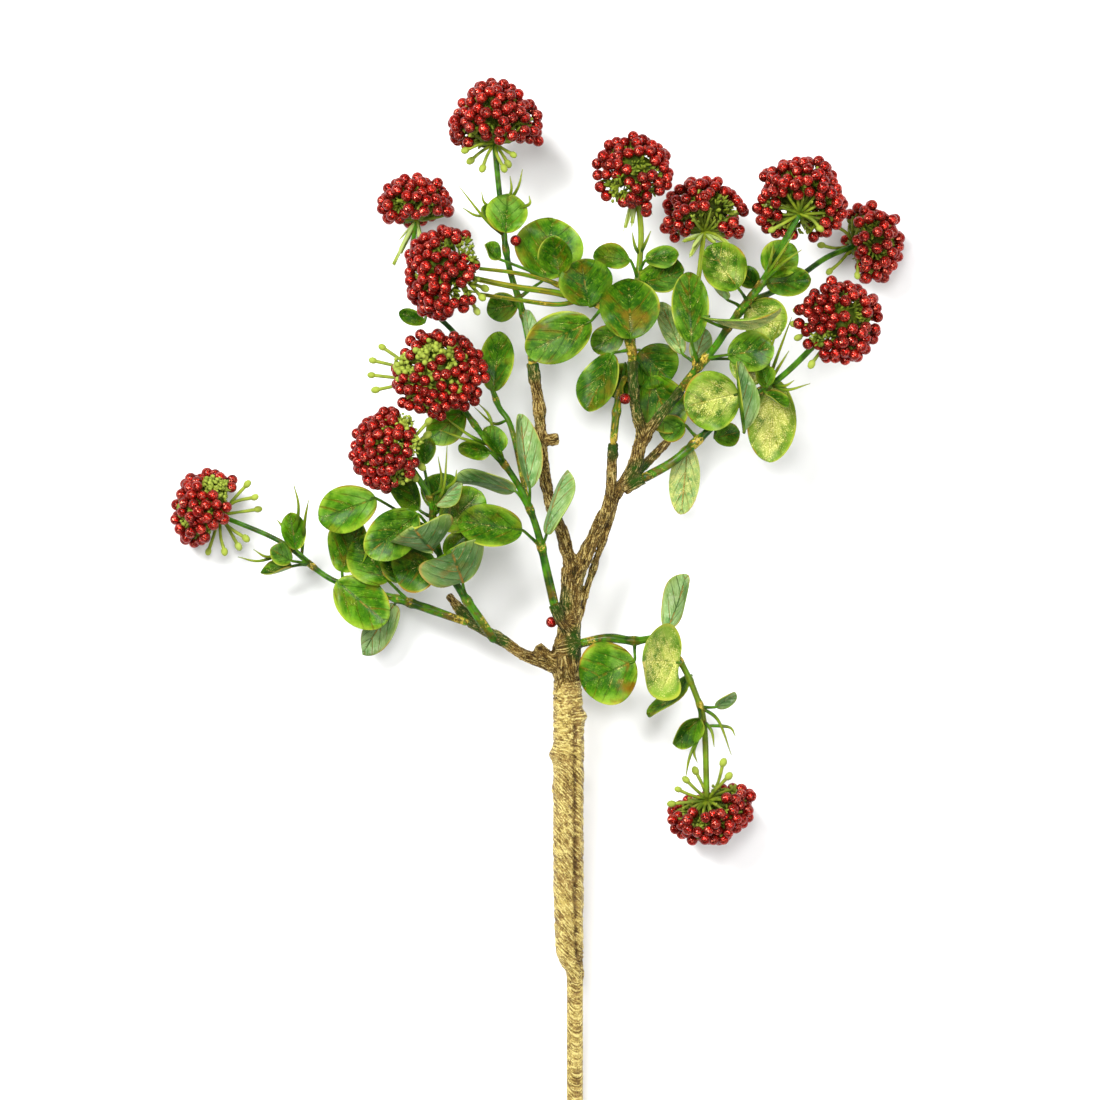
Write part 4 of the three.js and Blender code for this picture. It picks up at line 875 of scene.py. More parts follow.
def add_trunk(piece):
    """The tape-wound trunk: crumpled tape, wound rings at its top, a lengthwise groove and cord, knots."""
    route = [(-0.35, 93, 13.9), (-0.5, 98, 14.5), (-2.4, 106, 15.6), (-2.8, 128, 18.3), (-2.8, 150, 21),
             (-2.8, 190, 26.1), (-3.4, 207, 28.2)]
    steps, sides = TRUNK_GRID
    centres = curve_points(route, steps)
    ahead, angle, out = rings_round(centres, sides)
    length = centres[:, 1:2]
    x, z = np.sin(angle) * TRUNK_RADIUS, np.cos(angle) * TRUNK_RADIUS
    slope = length + 1.15 * x
    top = np.clip((length - RINGS_FROM) / RINGS_SOON, 0, 1)
    crumple = ridges(at(x * 0.2, slope * 0.5, z * 0.1), 3) * (1 - top)
    crumple = crumple + ridges(at(x * 0.12, length, z * 0.12), 5) * top
    surface = 0.72 * crumple + 0.28 * ridges(at(x * 0.7, slope * 1.7, z * 0.7), 9)
    wave = noise(at(x * 0.2, length * 0.09, z * 0.2), 12)
    tied = np.clip(1 - np.abs(length - TIED) / 5, 0, 1)
    radius = spread([3.05, 3.5, 5.3, 5.8, 5.8, 5.8, 5.1], steps)[:, None] - 0.7 + 0.95 * surface
    radius = radius + 0.5 * (wave - 0.5) + 0.5 * tied * (surface - 0.3)
    # the lengthwise groove runs a little right of the middle, with the wire's ridge beside it
    offset = out[..., 0] * radius
    upper = np.clip(out[..., 2] * 2.5, 0, 1)
    wander = 0.5 * (noise(at(length * 0.12, 0, 0), 21) - 0.5)
    groove = bell(offset - GROOVE - wander, 0.75) * upper * np.clip((198 - length) / 10, 0, 1)
    groove = groove * (0.35 + 0.65 * noise(at(length * 0.5, 0, 0), 22))
    radius = radius - 0.9 * groove + 0.3 * bell(offset - CORD, 0.8) * upper
    for knot, side, height, wide in TRUNK_KNOTS:
        radius = radius + height * bell(length - knot, wide) * np.clip(out[..., 0] * side * 1.6 - 0.4, 0, 1)
    places = centres[:, None] + out * radius[..., None]
    places[..., 2] = np.maximum(places[..., 2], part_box("taped_trunk")[0].z * 1000)
    ends = [centres[0] - ahead[0] * 0.2, centres[-1] + ahead[-1] * 0.3]
    # crest and groove values, from which the tape's paint makes painted highlights on the crests and painted
    # shade in the creases and the groove
    spot = at(surface * (1 - 0.5 * groove), groove, 0).reshape(-1, 3)
    style = at(offset * 0.3, length + 1.1 * offset * (1 - top), top).reshape(-1, 3)
    piece.add(np.vstack([places.reshape(-1, 3), ends]), rod_faces(steps + 1, sides),
              np.vstack([spot, np.zeros((2, 3))]), np.vstack([style, np.zeros((2, 3))]))


def add_foot(piece):
    """The thinner stem below the tape, wound with one thin layer, cut square at its end."""
    steps, sides = FOOT_GRID
    centres = curve_points([(-0.35, 0.03, 2.9), (-0.35, 50, 8.5), (-0.35, 97, 14.4)], steps)
    ahead, angle, out = rings_round(centres, sides)
    length = centres[:, 1:2]
    x, z = np.cos(angle) * FOOT_RADIUS, np.sin(angle) * FOOT_RADIUS
    slope = length + 0.6 * z
    surface = 0.7 * ridges(at(x * 0.3, slope * 0.7, z * 0.2), 31) + 0.3 * ridges(at(x, slope * 1.9, z), 33)
    places = centres[:, None] + out * (2.8 + 0.35 * surface)[..., None]
    places[..., 2] = np.maximum(places[..., 2], 0)
    # the cut end: a shallow dish with the wire's end standing in it
    cut = [centres[0] + (places[0] - centres[0]) * share + ahead[0] * sink
           for share, sink in ((0.05, -0.15), (0.42, -0.1), (0.45, 0.35), (0.8, 0.2))]
    rings = np.vstack([np.vstack(cut), places.reshape(-1, 3), [centres[-1] + ahead[-1] * 0.2]])
    inside = np.zeros((len(cut) * sides, 3))
    spot = np.vstack([inside + (0.2, 0.8, 0), at(surface, 0, 0).reshape(-1, 3), [(0.5, 0, 0)]])
    style = np.vstack([inside, at(x * 0.3, length + 1.1 * x, 0).reshape(-1, 3), [(0, 0, 0)]])
    last = len(rings) - 1
    piece.add(rings, [grid_faces(last // sides, sides, True), fan(last, last - sides, sides),
                      np.arange(sides)[None, ::-1]], spot, style)


def make_bark(name, materials):
    """The moulded bark: the branches' rods melted into one skin, then ridged along each branch."""
    rods = Piece()
    samples = []
    for number, (route, radii) in enumerate(BARK_ROUTES + TAPE_LAPS):
        steps = int(route_length(route) / 0.8)
        centres = curve_points(route, steps)
        _, across, beside = ring_frames(centres)
        radius = spread(radii, steps)
        uneven = noise(at(np.arange(steps + 1) * 0.13, number * 9.0, 0), 40)
        rods.add(*rod_mesh(centres, radius * (0.9 + 0.25 * uneven), 20))
        along = np.concatenate([[0], np.cumsum(np.linalg.norm(np.diff(centres, axis=0), axis=1))])
        samples += zip(centres, across, beside, along + 37 * number, radius)
    rough = rods.build("bark_rods", [])
    melt = rough.modifiers.new("melt", "REMESH")
    melt.mode = "VOXEL"
    melt.voxel_size = BARK_VOXEL
    mesh = bpy.data.meshes.new_from_object(rough.evaluated_get(bpy.context.evaluated_depsgraph_get()))
    bpy.data.objects.remove(rough)
    places, normals = np.zeros((2, len(mesh.vertices) * 3))
    mesh.vertices.foreach_get("co", places)
    mesh.vertices.foreach_get("normal", normals)
    places, normals = places.reshape(-1, 3) * 1000 - SHIFT, normals.reshape(-1, 3)
    tree = KDTree(len(samples))
    for i, sample in enumerate(samples):
        tree.insert(Vector(sample[0]), i)
    tree.balance()
    nearest = [tree.find(place)[1] for place in places]
    centre, across, beside, along, radius = (np.array(column)[nearest] for column in zip(*samples))
    arm = places - centre
    twisted = np.arctan2((arm * beside).sum(1), (arm * across).sum(1)) + along * 0.035
    strand = at(np.cos(twisted) * radius, np.sin(twisted) * radius, along)
    crest = 0.7 * ridges(strand * (0.8, 0.8, 0.17), 51) + 0.3 * ridges(places * 0.75, 53)
    # green creeps down from the sockets, furthest on the two upper branches
    socket = np.zeros(len(places))
    for title, spray in SPRAYS.items():
        away = np.linalg.norm(places - spray["stems"][0][0][0], axis=1) / CREEP.get(title, CREEP_ELSEWHERE)
        socket = np.maximum(socket, 1 - away)
    swell = 1.2 * (crest - 0.84) + 0.6 * (noise(places * 0.36, 57) - 0.5) - 0.2 * socket ** 2
    places = places + normals * swell[:, None]
    fork = np.linalg.norm(places[:, :2] - FORK_HOLLOW, axis=1)
    places[:, 2] -= 1.6 * bell(fork, 1.2) * (normals[:, 2] > 0.2)
    mesh.vertices.foreach_set("co", ((places + SHIFT) / 1000).ravel())
    mesh.update()
    mesh.materials.clear()
    # the crest value is taken away in the fork's hollow, so the paint gives painted shade and less gold there
    return finish_mesh(name, mesh, materials, spot=at(crest * (1 - bell(fork, 1.5)), socket, along * 0.1),
                       style=strand * (1, 1, 0.2))


# Materials. Colours are written as 0 to 255 on a screen.

def srgb(colour):
    """The linear values that Blender mixes."""
    return tuple((c / 255 / 12.92 if c < 11 else ((c / 255 + 0.055) / 1.055) ** 2.4) for c in colour) + (1,)


class Value:
    """A value that changes over the surface. It can be reckoned with like a number."""

    def __init__(self, nodes, socket):
        self.nodes, self.socket = nodes, socket

    def __add__(self, other):
        return self.nodes.math("ADD", self, other)

    def __mul__(self, other):
        return self.nodes.math("MULTIPLY", self, other)

    def __sub__(self, other):
        return self.nodes.math("SUBTRACT", self, other)

    def __rsub__(self, other):
        return self.nodes.math("SUBTRACT", other, self)

    def clamped(self):
        """The same value, held between 0 and 1."""
        self.socket.node.use_clamp = True
        return self

    __radd__, __rmul__ = __add__, __mul__


class Nodes:
    """A node tree, with short ways to place and join its nodes."""

    def __init__(self, tree):
        self.tree = tree

    def set(self, socket, value):
        if isinstance(value, Value):
            self.tree.links.new(value.socket, socket)
        else:
            screen = socket.type == "RGBA" and len(value) == 3
            socket.default_value = srgb(value) if screen else value

    def add(self, kind, output=0, settings=(), **inputs):
        """One output of a new node."""
        node = self.tree.nodes.new(kind)
        for key, value in dict(settings).items():
            setattr(node, key, value)
        for key, value in inputs.items():
            self.set(node.inputs[key.replace("_", " ")], value)
        return Value(self, node.outputs[output])

    def math(self, operation, *values, kind="ShaderNodeMath"):
        result = self.add(kind, settings={"operation": operation})
        for socket, value in zip(result.socket.node.inputs, values):
            self.set(socket, value)
        return result

    def ramp(self, value, low, high):
        """Smoothly from 0 at low to 1 at high."""
        return self.add("ShaderNodeMapRange", "Result", {"interpolation_type": "SMOOTHSTEP"},
                        Value=value, From_Min=low, From_Max=high)

    def mix(self, share, first, second):
        colour = self.add("ShaderNodeMix", 2, {"data_type": "RGBA"}, Factor=share)
        self.set(colour.socket.node.inputs[6], first)
        self.set(colour.socket.node.inputs[7], second)
        return colour

    def place(self):
        return self.add("ShaderNodeTexCoord", "Object")

    def noise(self, scale, detail=3.0, rough=0.55, place=None):
        return self.add("ShaderNodeTexNoise", "Fac", Vector=place or self.place(), Scale=scale, Detail=detail,
                        Roughness=rough)

    def clouds(self, scale, low, high, detail=3.0):
        return self.ramp(self.noise(scale, detail), low, high)

    def attribute(self, title):
        return self.add("ShaderNodeAttribute", "Vector", {"attribute_name": title})

    def table(self, title):
        """The three values of one of the piece's own tables."""
        split = self.add("ShaderNodeSeparateXYZ", Vector=self.attribute(title)).socket.node
        return [Value(self, socket) for socket in split.outputs]

    def drawn(self, title, stretch, scale, rough=0.6):
        """Noise drawn along the piece's own length, from the place that one of its tables gives."""
        place = self.add("ShaderNodeMapping", Vector=self.attribute(title), Scale=stretch)
        return self.noise(scale, 4.0, rough, place)

    def group(self, title, **inputs):
        first = self.add("ShaderNodeGroup", 0, {"node_tree": bpy.data.node_groups[title]}, **inputs)
        return {socket.name: Value(self, socket) for socket in first.socket.node.outputs}


def make_group(title, inputs, outputs):
    """An empty shader node group with named sockets, colours where the default is one."""
    tree = bpy.data.node_groups.new(title, "ShaderNodeTree")
    for name, value in inputs.items():
        kind = "NodeSocketColor" if isinstance(value, tuple) else "NodeSocketFloat"
        tree.interface.new_socket(name=name, in_out="INPUT", socket_type=kind).default_value = value
    for name in outputs:
        kind = "NodeSocketColor" if name == "Color" else "NodeSocketFloat"
        tree.interface.new_socket(name=name, in_out="OUTPUT", socket_type=kind)
    nodes = Nodes(tree)
    given = {socket.name: Value(nodes, socket) for socket in tree.nodes.new("NodeGroupInput").outputs}
    return nodes, given, tree.nodes.new("NodeGroupOutput").inputs


def make_mottle():
    """Two paints clouded into each other, with a third in small spots."""
    nodes, given, result = make_group(
        "mottle", {"Light": (1, 1, 1, 1), "Dark": (0, 0, 0, 1), "Spots": (0, 0, 0, 1), "Spot Share": 0.2,
                   "Scale": 90}, ["Color"])
    scale, share = given["Scale"], given["Spot Share"]
    both = nodes.mix(nodes.ramp(nodes.noise(scale, 3.0, 0.5), 0.36, 0.64), given["Dark"], given["Light"])
    high = 0.74 - share * 0.28
    spots = nodes.ramp(nodes.noise(scale * 2.6, 4.0, 0.6), high - 0.05, high + 0.05) * (share * 1.6).clamped()
    nodes.set(result["Color"], nodes.mix(spots, both, given["Spots"]))


def make_gold_brush():
    """Gold paint dragged over the high places, broken into fine flecks. Amount 0.5 covers about half."""
    nodes, given, result = make_group(
        "gold_brush", {"Color": (0, 0, 0, 1), "Gold": (1, 0.8, 0.3, 1), "Amount": 0.5, "Crest": 0.5,
                       "Scale": 900, "Flecks": 0.8, "Clouds": 0.8, "Soft": 0.09}, ["Color", "Mask"])
    scale, soft = given["Scale"], given["Soft"]
    fine = (nodes.noise(scale, 4.0, 0.7) - 0.5) * given["Flecks"]
    broad = (nodes.noise(scale * 0.12, 2.0, 0.5) - 0.5) * given["Clouds"]
    edge = 1 - given["Amount"]
    mask = nodes.ramp(given["Crest"] + (fine + broad), edge - soft, edge + soft)
    nodes.set(result["Color"], nodes.mix(mask, given["Color"], given["Gold"]))
    nodes.set(result["Mask"], mask)


def make_leaf_veins():
    """A leaf's midrib, side veins and fine net, the swell between them, and how near its rim a place is."""
    nodes, _, result = make_group("leaf_veins", {}, ["Veins", "Beside", "Net", "Swell", "Rim", "Grain"])
    across, along, edge = nodes.table("spot")
    away = nodes.math("ABSOLUTE", across)
    midrib = (1 - nodes.ramp(away, 0.012, 0.06)) * (1 - nodes.ramp(along, 0.78, 0.98))
    slant = along - nodes.math("POWER", away, 1.3) * 0.6
    near = nodes.math("ABSOLUTE", nodes.math("FRACT", slant * 3.8 + 20) - 0.5)
    fade = 1 - nodes.ramp(away, 0.5, 0.9)
    side = (1 - nodes.ramp(near, 0.015, 0.07)) * fade
    net = nodes.add("ShaderNodeTexVoronoi", "Distance", {"feature": "DISTANCE_TO_EDGE"}, Vector=nodes.place(),
                    Scale=620)
    # fine strokes that run the way of the side veins, different on each leaf
    leaf = nodes.table("style")[0]
    stroke = nodes.add("ShaderNodeCombineXYZ", X=across * 7.0, Y=slant * 38.0, Z=leaf * 90.0)
    for name, value in {
        "Veins": nodes.math("MAXIMUM", midrib, side * 0.75),
        "Beside": (1 - nodes.ramp(near, 0.04, 0.26)) * fade,
        "Net": 1 - nodes.ramp(net, 0.02, 0.14),
        "Swell": nodes.ramp(near, 0.0, 0.4) * nodes.ramp(away, 0.0, 0.25),
        "Rim": 1 - nodes.ramp(edge, 0.0, 0.42),
        "Grain": nodes.noise(1.0, 3.0, 0.65, stroke),
    }.items():
        nodes.set(result[name], value)


class Finish(Nodes):
    """One material: coats of paint on one Principled shader, whose even values are set when it is made."""

    def __init__(self, name, **even):
        self.material = bpy.data.materials.new(name)
        self.material.use_nodes = True
        super().__init__(self.material.node_tree)
        self.tree.nodes.clear()
        self.shader = self.tree.nodes.new("ShaderNodeBsdfPrincipled")
        for key, value in even.items():
            self.shader.inputs[key.replace("_", " ")].default_value = value
        out = self.tree.nodes.new("ShaderNodeOutputMaterial")
        self.tree.links.new(self.shader.outputs[0], out.inputs["Surface"])

    def start(self, light, dark, spots, share, scale):
        first = self.group("mottle", Light=light, Dark=dark, Spots=spots, Spot_Share=share, Scale=scale)
        self.paint = first["Color"]

    def over(self, share, colour):
        """Lay a colour over the paint so far."""
        self.paint = self.mix(share, self.paint, colour)

    def brush(self, gold, amount, crest, metal, **more):
        """Brush gold over the paint so far. The metal share is 0 where it should stay dull."""
        gilt = self.group("gold_brush", Color=self.paint, Gold=gold, Amount=amount, Crest=crest, **more)
        self.paint = gilt["Color"]
        if metal:
            self.set(self.shader.inputs["Metallic"], gilt["Mask"] * metal)

    def finish(self, rough, change, grain, height, distance):
        """Join the paint, an uneven roughness and the bumps to the shader."""
        self.set(self.shader.inputs["Base Color"], self.paint)
        self.set(self.shader.inputs["Roughness"], self.noise(grain) * change + rough)
        self.set(self.shader.inputs["Normal"], self.add("ShaderNodeBump", Height=height, Distance=distance))
        return self.material


def leaf_top_material():
    """Deep green, clouded and darkest in the middle, yellower at the rim, scuffed with gold foil."""
    leaf = Finish("leaf top", Coat_Weight=0.07, Coat_Roughness=0.2, Specular_IOR_Level=0.04)
    veins = leaf.group("leaf_veins")
    yellow, gold, brown = leaf.table("style")
    edge = leaf.table("spot")[2]
    leaf.start((80, 130, 8), (30, 80, 4), (16, 54, 2), 0.5, 150.0)
    leaf.over((1.05 - yellow).clamped() * 0.7, (22, 64, 0))
    leaf.over(leaf.ramp(edge, 0.2, 0.9) * 0.5, (18, 56, 0))
    leaf.over(leaf.ramp(veins["Grain"], 0.5, 0.7) * 0.45, (106, 144, 18))
    fine = leaf.noise(560.0, 4.0, 0.65)
    leaf.over(leaf.ramp(fine, 0.5, 0.68) * 0.5, (12, 44, 0))
    leaf.over(0.4 - leaf.ramp(fine, 0.3, 0.44) * 0.4, (112, 150, 30))
    leaf.over(leaf.ramp(yellow, 0.5, 1.05) * 0.22, (88, 150, 10))
    # pale patches of painted sheen, and a lime glow at the rim
    leaf.over(leaf.clouds(75.0, 0.48, 0.68) * (yellow * 0.5), (124, 164, 74))
    leaf.over(veins["Rim"] * (yellow * 0.8 + 0.15) * leaf.clouds(140.0, 0.34, 0.62), (146, 172, 46))
    # brown stains lie along the side veins and in a few soft patches
    stain = veins["Beside"] * leaf.clouds(170.0, 0.46, 0.66, 2.0) * 0.8
    leaf.over((leaf.math("MAXIMUM", stain, leaf.clouds(85.0, 0.54, 0.7)) * brown).clamped(), (112, 82, 10))
    leaf.over(veins["Veins"] * 0.6, leaf.mix(leaf.clouds(230.0, 0.5, 0.62, 2.0), (18, 58, 0), (124, 92, 20)))
    leaf.over(veins["Net"] * 0.12, (20, 60, 0))
    inner = leaf.ramp(edge, 0.06, 0.6)
    leaf.over(leaf.ramp(gold, 0.5, 1.0) * 0.45, (104, 142, 40))
    leaf.over(inner * leaf.ramp(gold, 0.3, 0.9) * leaf.clouds(150.0, 0.4, 0.62) * 0.85, (178, 184, 88))
    foil = inner * 0.28 + veins["Veins"] * 0.16 + 0.2 + (veins["Grain"] - 0.5) * 0.55
    bright = leaf.mix(leaf.clouds(2100.0, 0.42, 0.6), (150, 156, 52), (228, 222, 136))
    leaf.brush(bright, gold * 0.66 - 0.1, foil, 0.35, Scale=2700.0, Flecks=1.9, Clouds=1.1, Soft=0.3)
    line = (1 - leaf.ramp(edge, 0.02, 0.12)) * leaf.ramp(gold, 0.12, 0.2) * leaf.clouds(70.0, 0.48, 0.56, 1.0)
    leaf.over(line * 0.8, leaf.mix(leaf.clouds(60.0, 0.52, 0.6, 1.0), (158, 164, 56), (146, 104, 34)))
    height = leaf.noise(330.0) * 0.5 + veins["Swell"] * 0.3 - veins["Veins"] * 0.6 + veins["Grain"] * 0.8
    return leaf.finish(0.36, 0.25, 400.0, height + fine * 0.6, 0.0005)


def leaf_under_material():
    """Grey-green with a pale bloom, and raised veins with brown and gold in them."""
    leaf = Finish("leaf underside", Specular_IOR_Level=0.1)
    veins = leaf.group("leaf_veins")
    yellow, gold, brown = leaf.table("style")
    edge = leaf.table("spot")[2]
    leaf.start((124, 154, 94), (76, 116, 56), (156, 176, 136), 0.4, 120.0)
    leaf.over(leaf.ramp(veins["Grain"], 0.5, 0.7) * 0.6, (160, 180, 136))
    leaf.over(0.6 - leaf.ramp(veins["Grain"], 0.32, 0.48) * 0.6, (46, 90, 24))
    leaf.over((0.35 - yellow).clamped() * 1.8, (46, 82, 28))
    leaf.over(brown * leaf.clouds(110.0, 0.5, 0.7, 2.0) * 0.6, (112, 96, 44))
    leaf.over(veins["Rim"] * 0.45, (124, 142, 60))
    ribs = leaf.mix(leaf.clouds(200.0, 0.42, 0.54, 2.0), (42, 78, 22), (146, 104, 40))
    leaf.over(veins["Veins"] * 0.85, ribs)
    leaf.over(leaf.ramp(gold, 0.3, 0.9) * leaf.clouds(420.0, 0.36, 0.66) * 0.6, (152, 164, 84))
    leaf.brush((200, 192, 110), gold * 0.6 - 0.1, veins["Grain"] * 0.6 + 0.1, 0,
               Scale=2600.0, Flecks=1.9, Clouds=0.9, Soft=0.3)
    line = (1 - leaf.ramp(edge, 0.0, 0.1)) * leaf.clouds(120.0, 0.34, 0.5, 1.0)
    leaf.over(line * 0.7, leaf.mix(leaf.clouds(60.0, 0.5, 0.58, 1.0), (158, 172, 98), (166, 128, 62)))
    height = leaf.noise(300.0) * 0.5 + veins["Veins"] - veins["Swell"] * 0.3 + veins["Grain"] * 0.5
    return leaf.finish(0.46, 0.2, 500.0, height, 0.0004)


def stalk_material():
    """Green plastic with brown shade and lengthwise streaks of gold, yellower towards a needle's tip."""
    stalk = Finish("green stalk", Coat_Weight=0.15, Coat_Roughness=0.18, Specular_IOR_Level=0.06)
    along, joint, _ = stalk.table("spot")
    pale, gold, golden = stalk.table("style")
    joint = stalk.math("MAXIMUM", joint, 1 - stalk.ramp(along, 0.05, 0.26))
    stalk.start((62, 116, 14), (16, 60, 6), (78, 66, 14), 0.45, 190.0)
    streaks = stalk.drawn("spot", (4, 1, 9), 1.0)
    stalk.over((stalk.ramp(streaks, 0.46, 0.6) * (golden * 1.6 + 0.12) * 0.9).clamped(), (134, 112, 26))
    stalk.over(joint * stalk.clouds(330.0, 0.42, 0.6) * 0.8, (92, 68, 20))
    stalk.over((stalk.ramp(along, 0.15, 0.85) * pale).clamped(), (136, 150, 34))
    stalk.brush((178, 154, 58), gold * 0.5 - 0.05, joint * 0.35 + 0.4, 0.3,
                Scale=900.0, Flecks=1.7, Clouds=1.2)
    return stalk.finish(0.38, 0.2, 600.0, stalk.noise(420.0) + streaks, 0.0006)


def floret_material():
    """Muted yellow-green, darker at the root, paler at the bud's end, flecked with gold, with painted shade
    deep in the head.
    """
    floret = Finish("pale floret", Specular_IOR_Level=0.08)
    along = floret.table("spot")[0]
    pale, gold, dark = floret.table("style")
    floret.start((112, 126, 26), (66, 86, 12), (104, 82, 26), 0.4, 330.0)
    # painted shade: darkest on the core, darker on the hubs and berry stalks, and on some rays, petals and
    # buds at random
    floret.over(dark * 0.85, (32, 44, 6))
    floret.over((floret.ramp(along, 0.2, 1.0) * pale).clamped(), (150, 164, 66))
    floret.over(floret.ramp(pale, 0.85, 1.0) * 0.55, (172, 188, 124))
    floret.brush((172, 148, 70), gold * 0.5 - 0.02, 0.45, 0, Scale=1300.0, Flecks=1.5)
    return floret.finish(0.45, 0.2, 700.0, floret.noise(800.0), 0.0003)


def berry_material():
    """Deep red pearl: tilted metallic flakes under a clear coat, some flakes painted pink as glints, each
    berry a little darker or lighter.
    """
    pearl = Finish("berry pearl", Coat_Weight=0.35, Coat_Roughness=0.06, Coat_IOR=1.36,
                   Specular_Tint=(0.35, 0.03, 0.03, 1))
    flake = pearl.add("ShaderNodeTexVoronoi", "Color", {"feature": "F1"}, Vector=pearl.place(), Scale=2600.0)
    split = pearl.add("ShaderNodeSeparateColor", Color=flake).socket.node
    red, green, blue = (Value(pearl, socket) for socket in split.outputs)
    pearl.paint = pearl.mix(pearl.table("spot")[0], (126, 13, 8), (162, 26, 16))
    # painted highlight: pink glints on some of the flakes
    pearl.over(pearl.ramp(red, 0.62, 0.95) * 0.6, (226, 128, 104))
    pearl.over(pearl.clouds(420.0, 0.4, 0.64, 2.0) * 0.55, (58, 3, 1))
    vector = "ShaderNodeVectorMath"
    tilt = pearl.math("MULTIPLY_ADD", flake, (0.7, 0.7, 0.7), (-0.35, -0.35, -0.35), kind=vector)
    lean = pearl.math("ADD", pearl.add("ShaderNodeNewGeometry", "Normal"), tilt, kind=vector)
    even = pearl.math("NORMALIZE", lean, kind=vector)
    for title, value in (("Base Color", pearl.paint), ("Metallic", green * 0.35 + 0.6),
                         ("Roughness", blue * 0.16 + 0.2), ("Normal", even)):
        pearl.set(pearl.shader.inputs[title], value)
    return pearl.material


def bark_material():
    """Brown bark in fine lengthwise strands, with painted shade in its low places, brushed gold and painted
    highlights on its crests, and moss at the sockets.
    """
    bark = Finish("moulded bark", Specular_IOR_Level=0.1)
    crest, socket, _ = bark.table("spot")
    strands = bark.drawn("style", (1, 1, 0.75), 2.5, 0.68)
    creased = bark.noise(1500.0, 3.0, 0.6)
    raised = crest * 0.5 + (strands - 0.5) * 2.8 + (creased - 0.5) * 0.8 + 0.12
    bark.start((112, 86, 40), (74, 55, 22), (138, 122, 86), 0.4, 300.0)
    # painted shade in the low places between the strands
    bark.over((1 - bark.ramp(raised, 0.05, 0.5)) * 0.9, (34, 24, 8))
    moss = bark.ramp(socket, 0.02, 0.4) * (bark.clouds(300.0, 0.4, 0.6) * 0.4 + 0.6)
    bark.over(bark.math("MAXIMUM", moss, bark.clouds(90.0, 0.56, 0.7) * 0.5), (40, 74, 14))
    bark.brush((178, 148, 74), 0.37 - socket * 0.5, raised, 0.4,
               Scale=1700.0, Flecks=1.2, Clouds=0.5, Soft=0.2)
    # painted highlight along the crests, less near the sockets
    bark.over(bark.ramp(raised, 0.6, 0.8) * (0.6 - socket * 0.5), (230, 212, 142))
    return bark.finish(0.4, 0.3, 700.0, strands + creased * 0.6, 0.0014)


def tape_material():
    """Brown tape, creased on the slant, its crests brushed with gold and given painted highlights, with
    painted shade in its creases and in its lengthwise groove, which takes less gold.
    """
    tape = Finish("brushed tape", Coat_Weight=0.1, Coat_Roughness=0.2, Specular_IOR_Level=0.1)
    crest, groove, _ = tape.table("spot")
    streaks = tape.drawn("style", (1.3, 1, 0), 1.25, 0.66)
    creased = tape.noise(1600.0, 3.0, 0.62)
    raised = crest * 0.7 + (streaks - 0.5) * 2.1 + (creased - 0.5) * 1.1 + 0.05
    tape.start((164, 134, 76), (126, 98, 50), (158, 136, 98), 0.4, 300.0)
    # painted shade in the creases, where the relief runs low
    tape.over((1 - tape.ramp(raised, 0.05, 0.5)) * 0.85, (70, 48, 18))
    # painted shade in the lengthwise groove
    tape.over((groove * tape.clouds(700.0, 0.3, 0.6) * 0.9).clamped(), (56, 38, 14))
    tape.brush((204, 180, 98), 0.46 - groove * 0.25, raised, 0.3,
               Scale=1500.0, Flecks=0.8, Clouds=0.8, Soft=0.25)
    # painted highlight along the crests of the crinkles
    tape.over(tape.ramp(raised, 0.6, 0.8) * 0.85, (246, 230, 150))
    return tape.finish(0.34, 0.25, 700.0, streaks + creased * 0.7, 0.0015)


make_mottle()
make_gold_brush()
make_leaf_veins()
green_finishes = [stalk_material(), leaf_top_material(), leaf_under_material(), floret_material()]
berry_finish, bark_finish, tape_finish = berry_material(), bark_material(), tape_material()


def dress(piece, slot, *nodes):
    """The piece rides on the model's one body and stands for the nodes. The slot is not used."""
    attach(piece, "root")
    if nodes:
        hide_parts(*nodes)


# The camera looks straight down on the table, so that the branch fills it as it fills the photograph. The
# photograph's width and the camera's height are in metres.
PHOTO_WIDTH = 0.4125
PHOTO_MIDDLE = (Vector((-9.75, 256.1, 40)) + Vector(SHIFT)) / 1000
CAMERA_HEIGHT = 3.6
camera_data = bpy.data.cameras.new("camera")
camera_data.sensor_width = 36
camera_data.lens = camera_data.sensor_width * CAMERA_HEIGHT / PHOTO_WIDTH
camera_data.clip_end = 20
camera = place_object("camera", camera_data)
camera.location = PHOTO_MIDDLE + Vector((0, 0, CAMERA_HEIGHT))
bpy.context.scene.camera = camera

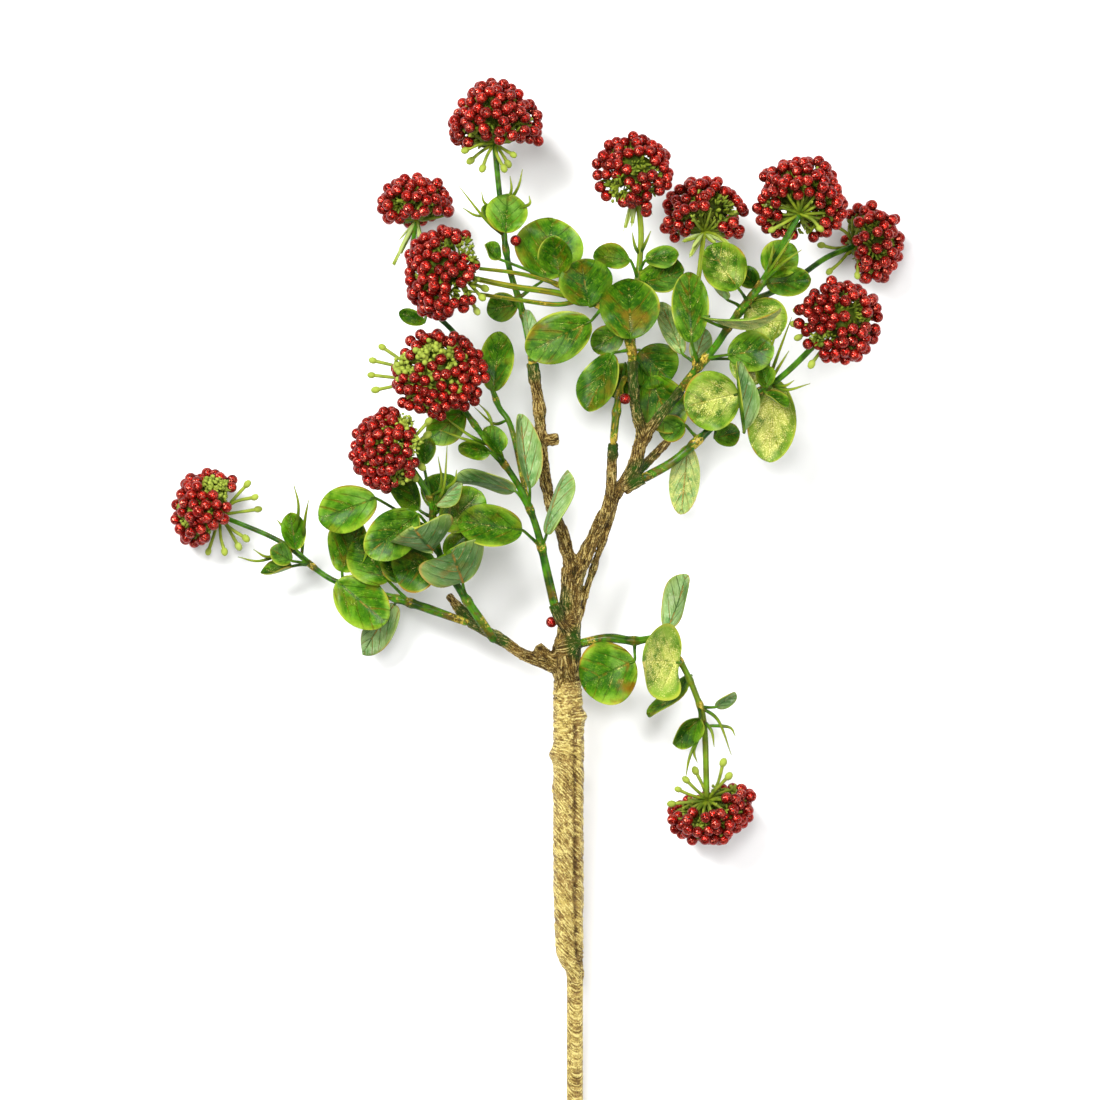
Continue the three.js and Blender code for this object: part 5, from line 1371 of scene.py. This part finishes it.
for number, (name, spray) in enumerate(SPRAYS.items(), 1):
    green = Piece()
    stems = spray["stems"]
    for index, (route, radii) in enumerate(stems):
        if index == 0:
            # the stalk's root sits down in its bark socket
            root = Vector(route[0]) + (Vector(route[0]) - Vector(route[1])).normalized() * SOCKET_DEPTH
            route = [root] + route[1:]
        joints = [nearest_root(stems, form[0]) for form in spray["leaves"]]
        if name == "spray_stub":
            joints += [(1 - share) * np.array(route[1]) + share * np.array(route[2]) for share in (0.1, 0.8)]
        golden = (0.2, 0.5, 0.62) if (name, index) in GOLDEN_STALKS else None
        add_rod(green, route, [radius * STALK_SHARE for radius in radii], 12, 0.7,
                golden or (PALE_STALKS.get((name, index), 0), 0.3, 0), STALK, joints)
    for index, form in enumerate(spray["leaves"]):
        add_leaf(green, stems, form, 1000 * number + index)
    # needles: thin pointed bracts, round at the root and yellow at the tip
    for route in spray["needles"]:
        route = [nearest_root(stems, route[0])] + route[1:]
        add_rod(green, route, [0.6, 0.7, 0.5, 0.12], 6, 1.1, (0.9, 0.1, 0), STALK)
    dress(green.build(name + "_twig", green_finishes), "leaf", name)
    for head, knobs in spray["knobs"].items():
        berries, stalks = Piece(), Piece()
        add_head(berries, stalks, head, knobs)
        dress(berries.build(head + "_berries", [berry_finish]), "berry", head)
        dress(stalks.build(head + "_umbel", green_finishes), "leaf")

for number, centre in enumerate(STRAY_BEADS, 1):
    bead = Piece()
    bead.add(FINE_BALL[0] * BEAD_RADIUS + centre, [FINE_BALL[1]], (0.4, 0.5, 0))
    dress(bead.build(f"loose_berry_{number}", [berry_finish]), "berry", f"stray_bead_{number}")

trunk, foot = Piece(), Piece()
add_trunk(trunk)
add_foot(foot)
dress(trunk.build("wound_tape", [tape_finish]), "tape", "taped_trunk")
dress(foot.build("stem_end", [tape_finish]), "tape", "stem_foot")
dress(make_bark("bark_skin", [bark_finish]), "bark", "bark_branches")

# A plain pale floor, just under the lowest leaf and berry, and soft studio light.
FLOOR_REACH = 4
FLOOR_LEVEL = -0.0002
floor_mesh = bpy.data.meshes.new("floor")
corners = [(FLOOR_REACH * x, FLOOR_REACH * y, 0) for x, y in ((-1, -1), (1, -1), (1, 1), (-1, 1))]
floor_mesh.from_pydata(corners, [], [(0, 1, 2, 3)])
floor_mesh.materials.append(Finish("pale floor", Base_Color=(0.86, 0.86, 0.86, 1), Roughness=0.9).material)
floor = place_object("floor", floor_mesh)
floor.location.z = FLOOR_LEVEL

bpy.context.scene.view_settings.view_transform = "Standard"
world = bpy.data.worlds.new("studio")
world.use_nodes = True
background = world.node_tree.nodes["Background"]
background.inputs["Color"].default_value = (1, 1, 1, 1)
background.inputs["Strength"].default_value = 0.3
bpy.context.scene.world = world

for name, place, size, power in (("key", (-0.6, 0.75, 1.5), 0.6, 48), ("fill", (0.9, -0.2, 1.4), 0.9, 16),
                                 ("top", (-0.1, 0.3, 2.1), 0.5, 20)):
    lamp = bpy.data.lights.new(name, "AREA")
    lamp.size, lamp.energy = size, power
    light = place_object(name, lamp)
    light.location = PHOTO_MIDDLE + Vector(place)
    light.rotation_euler = (PHOTO_MIDDLE - light.location).to_track_quat("-Z", "Y").to_euler()
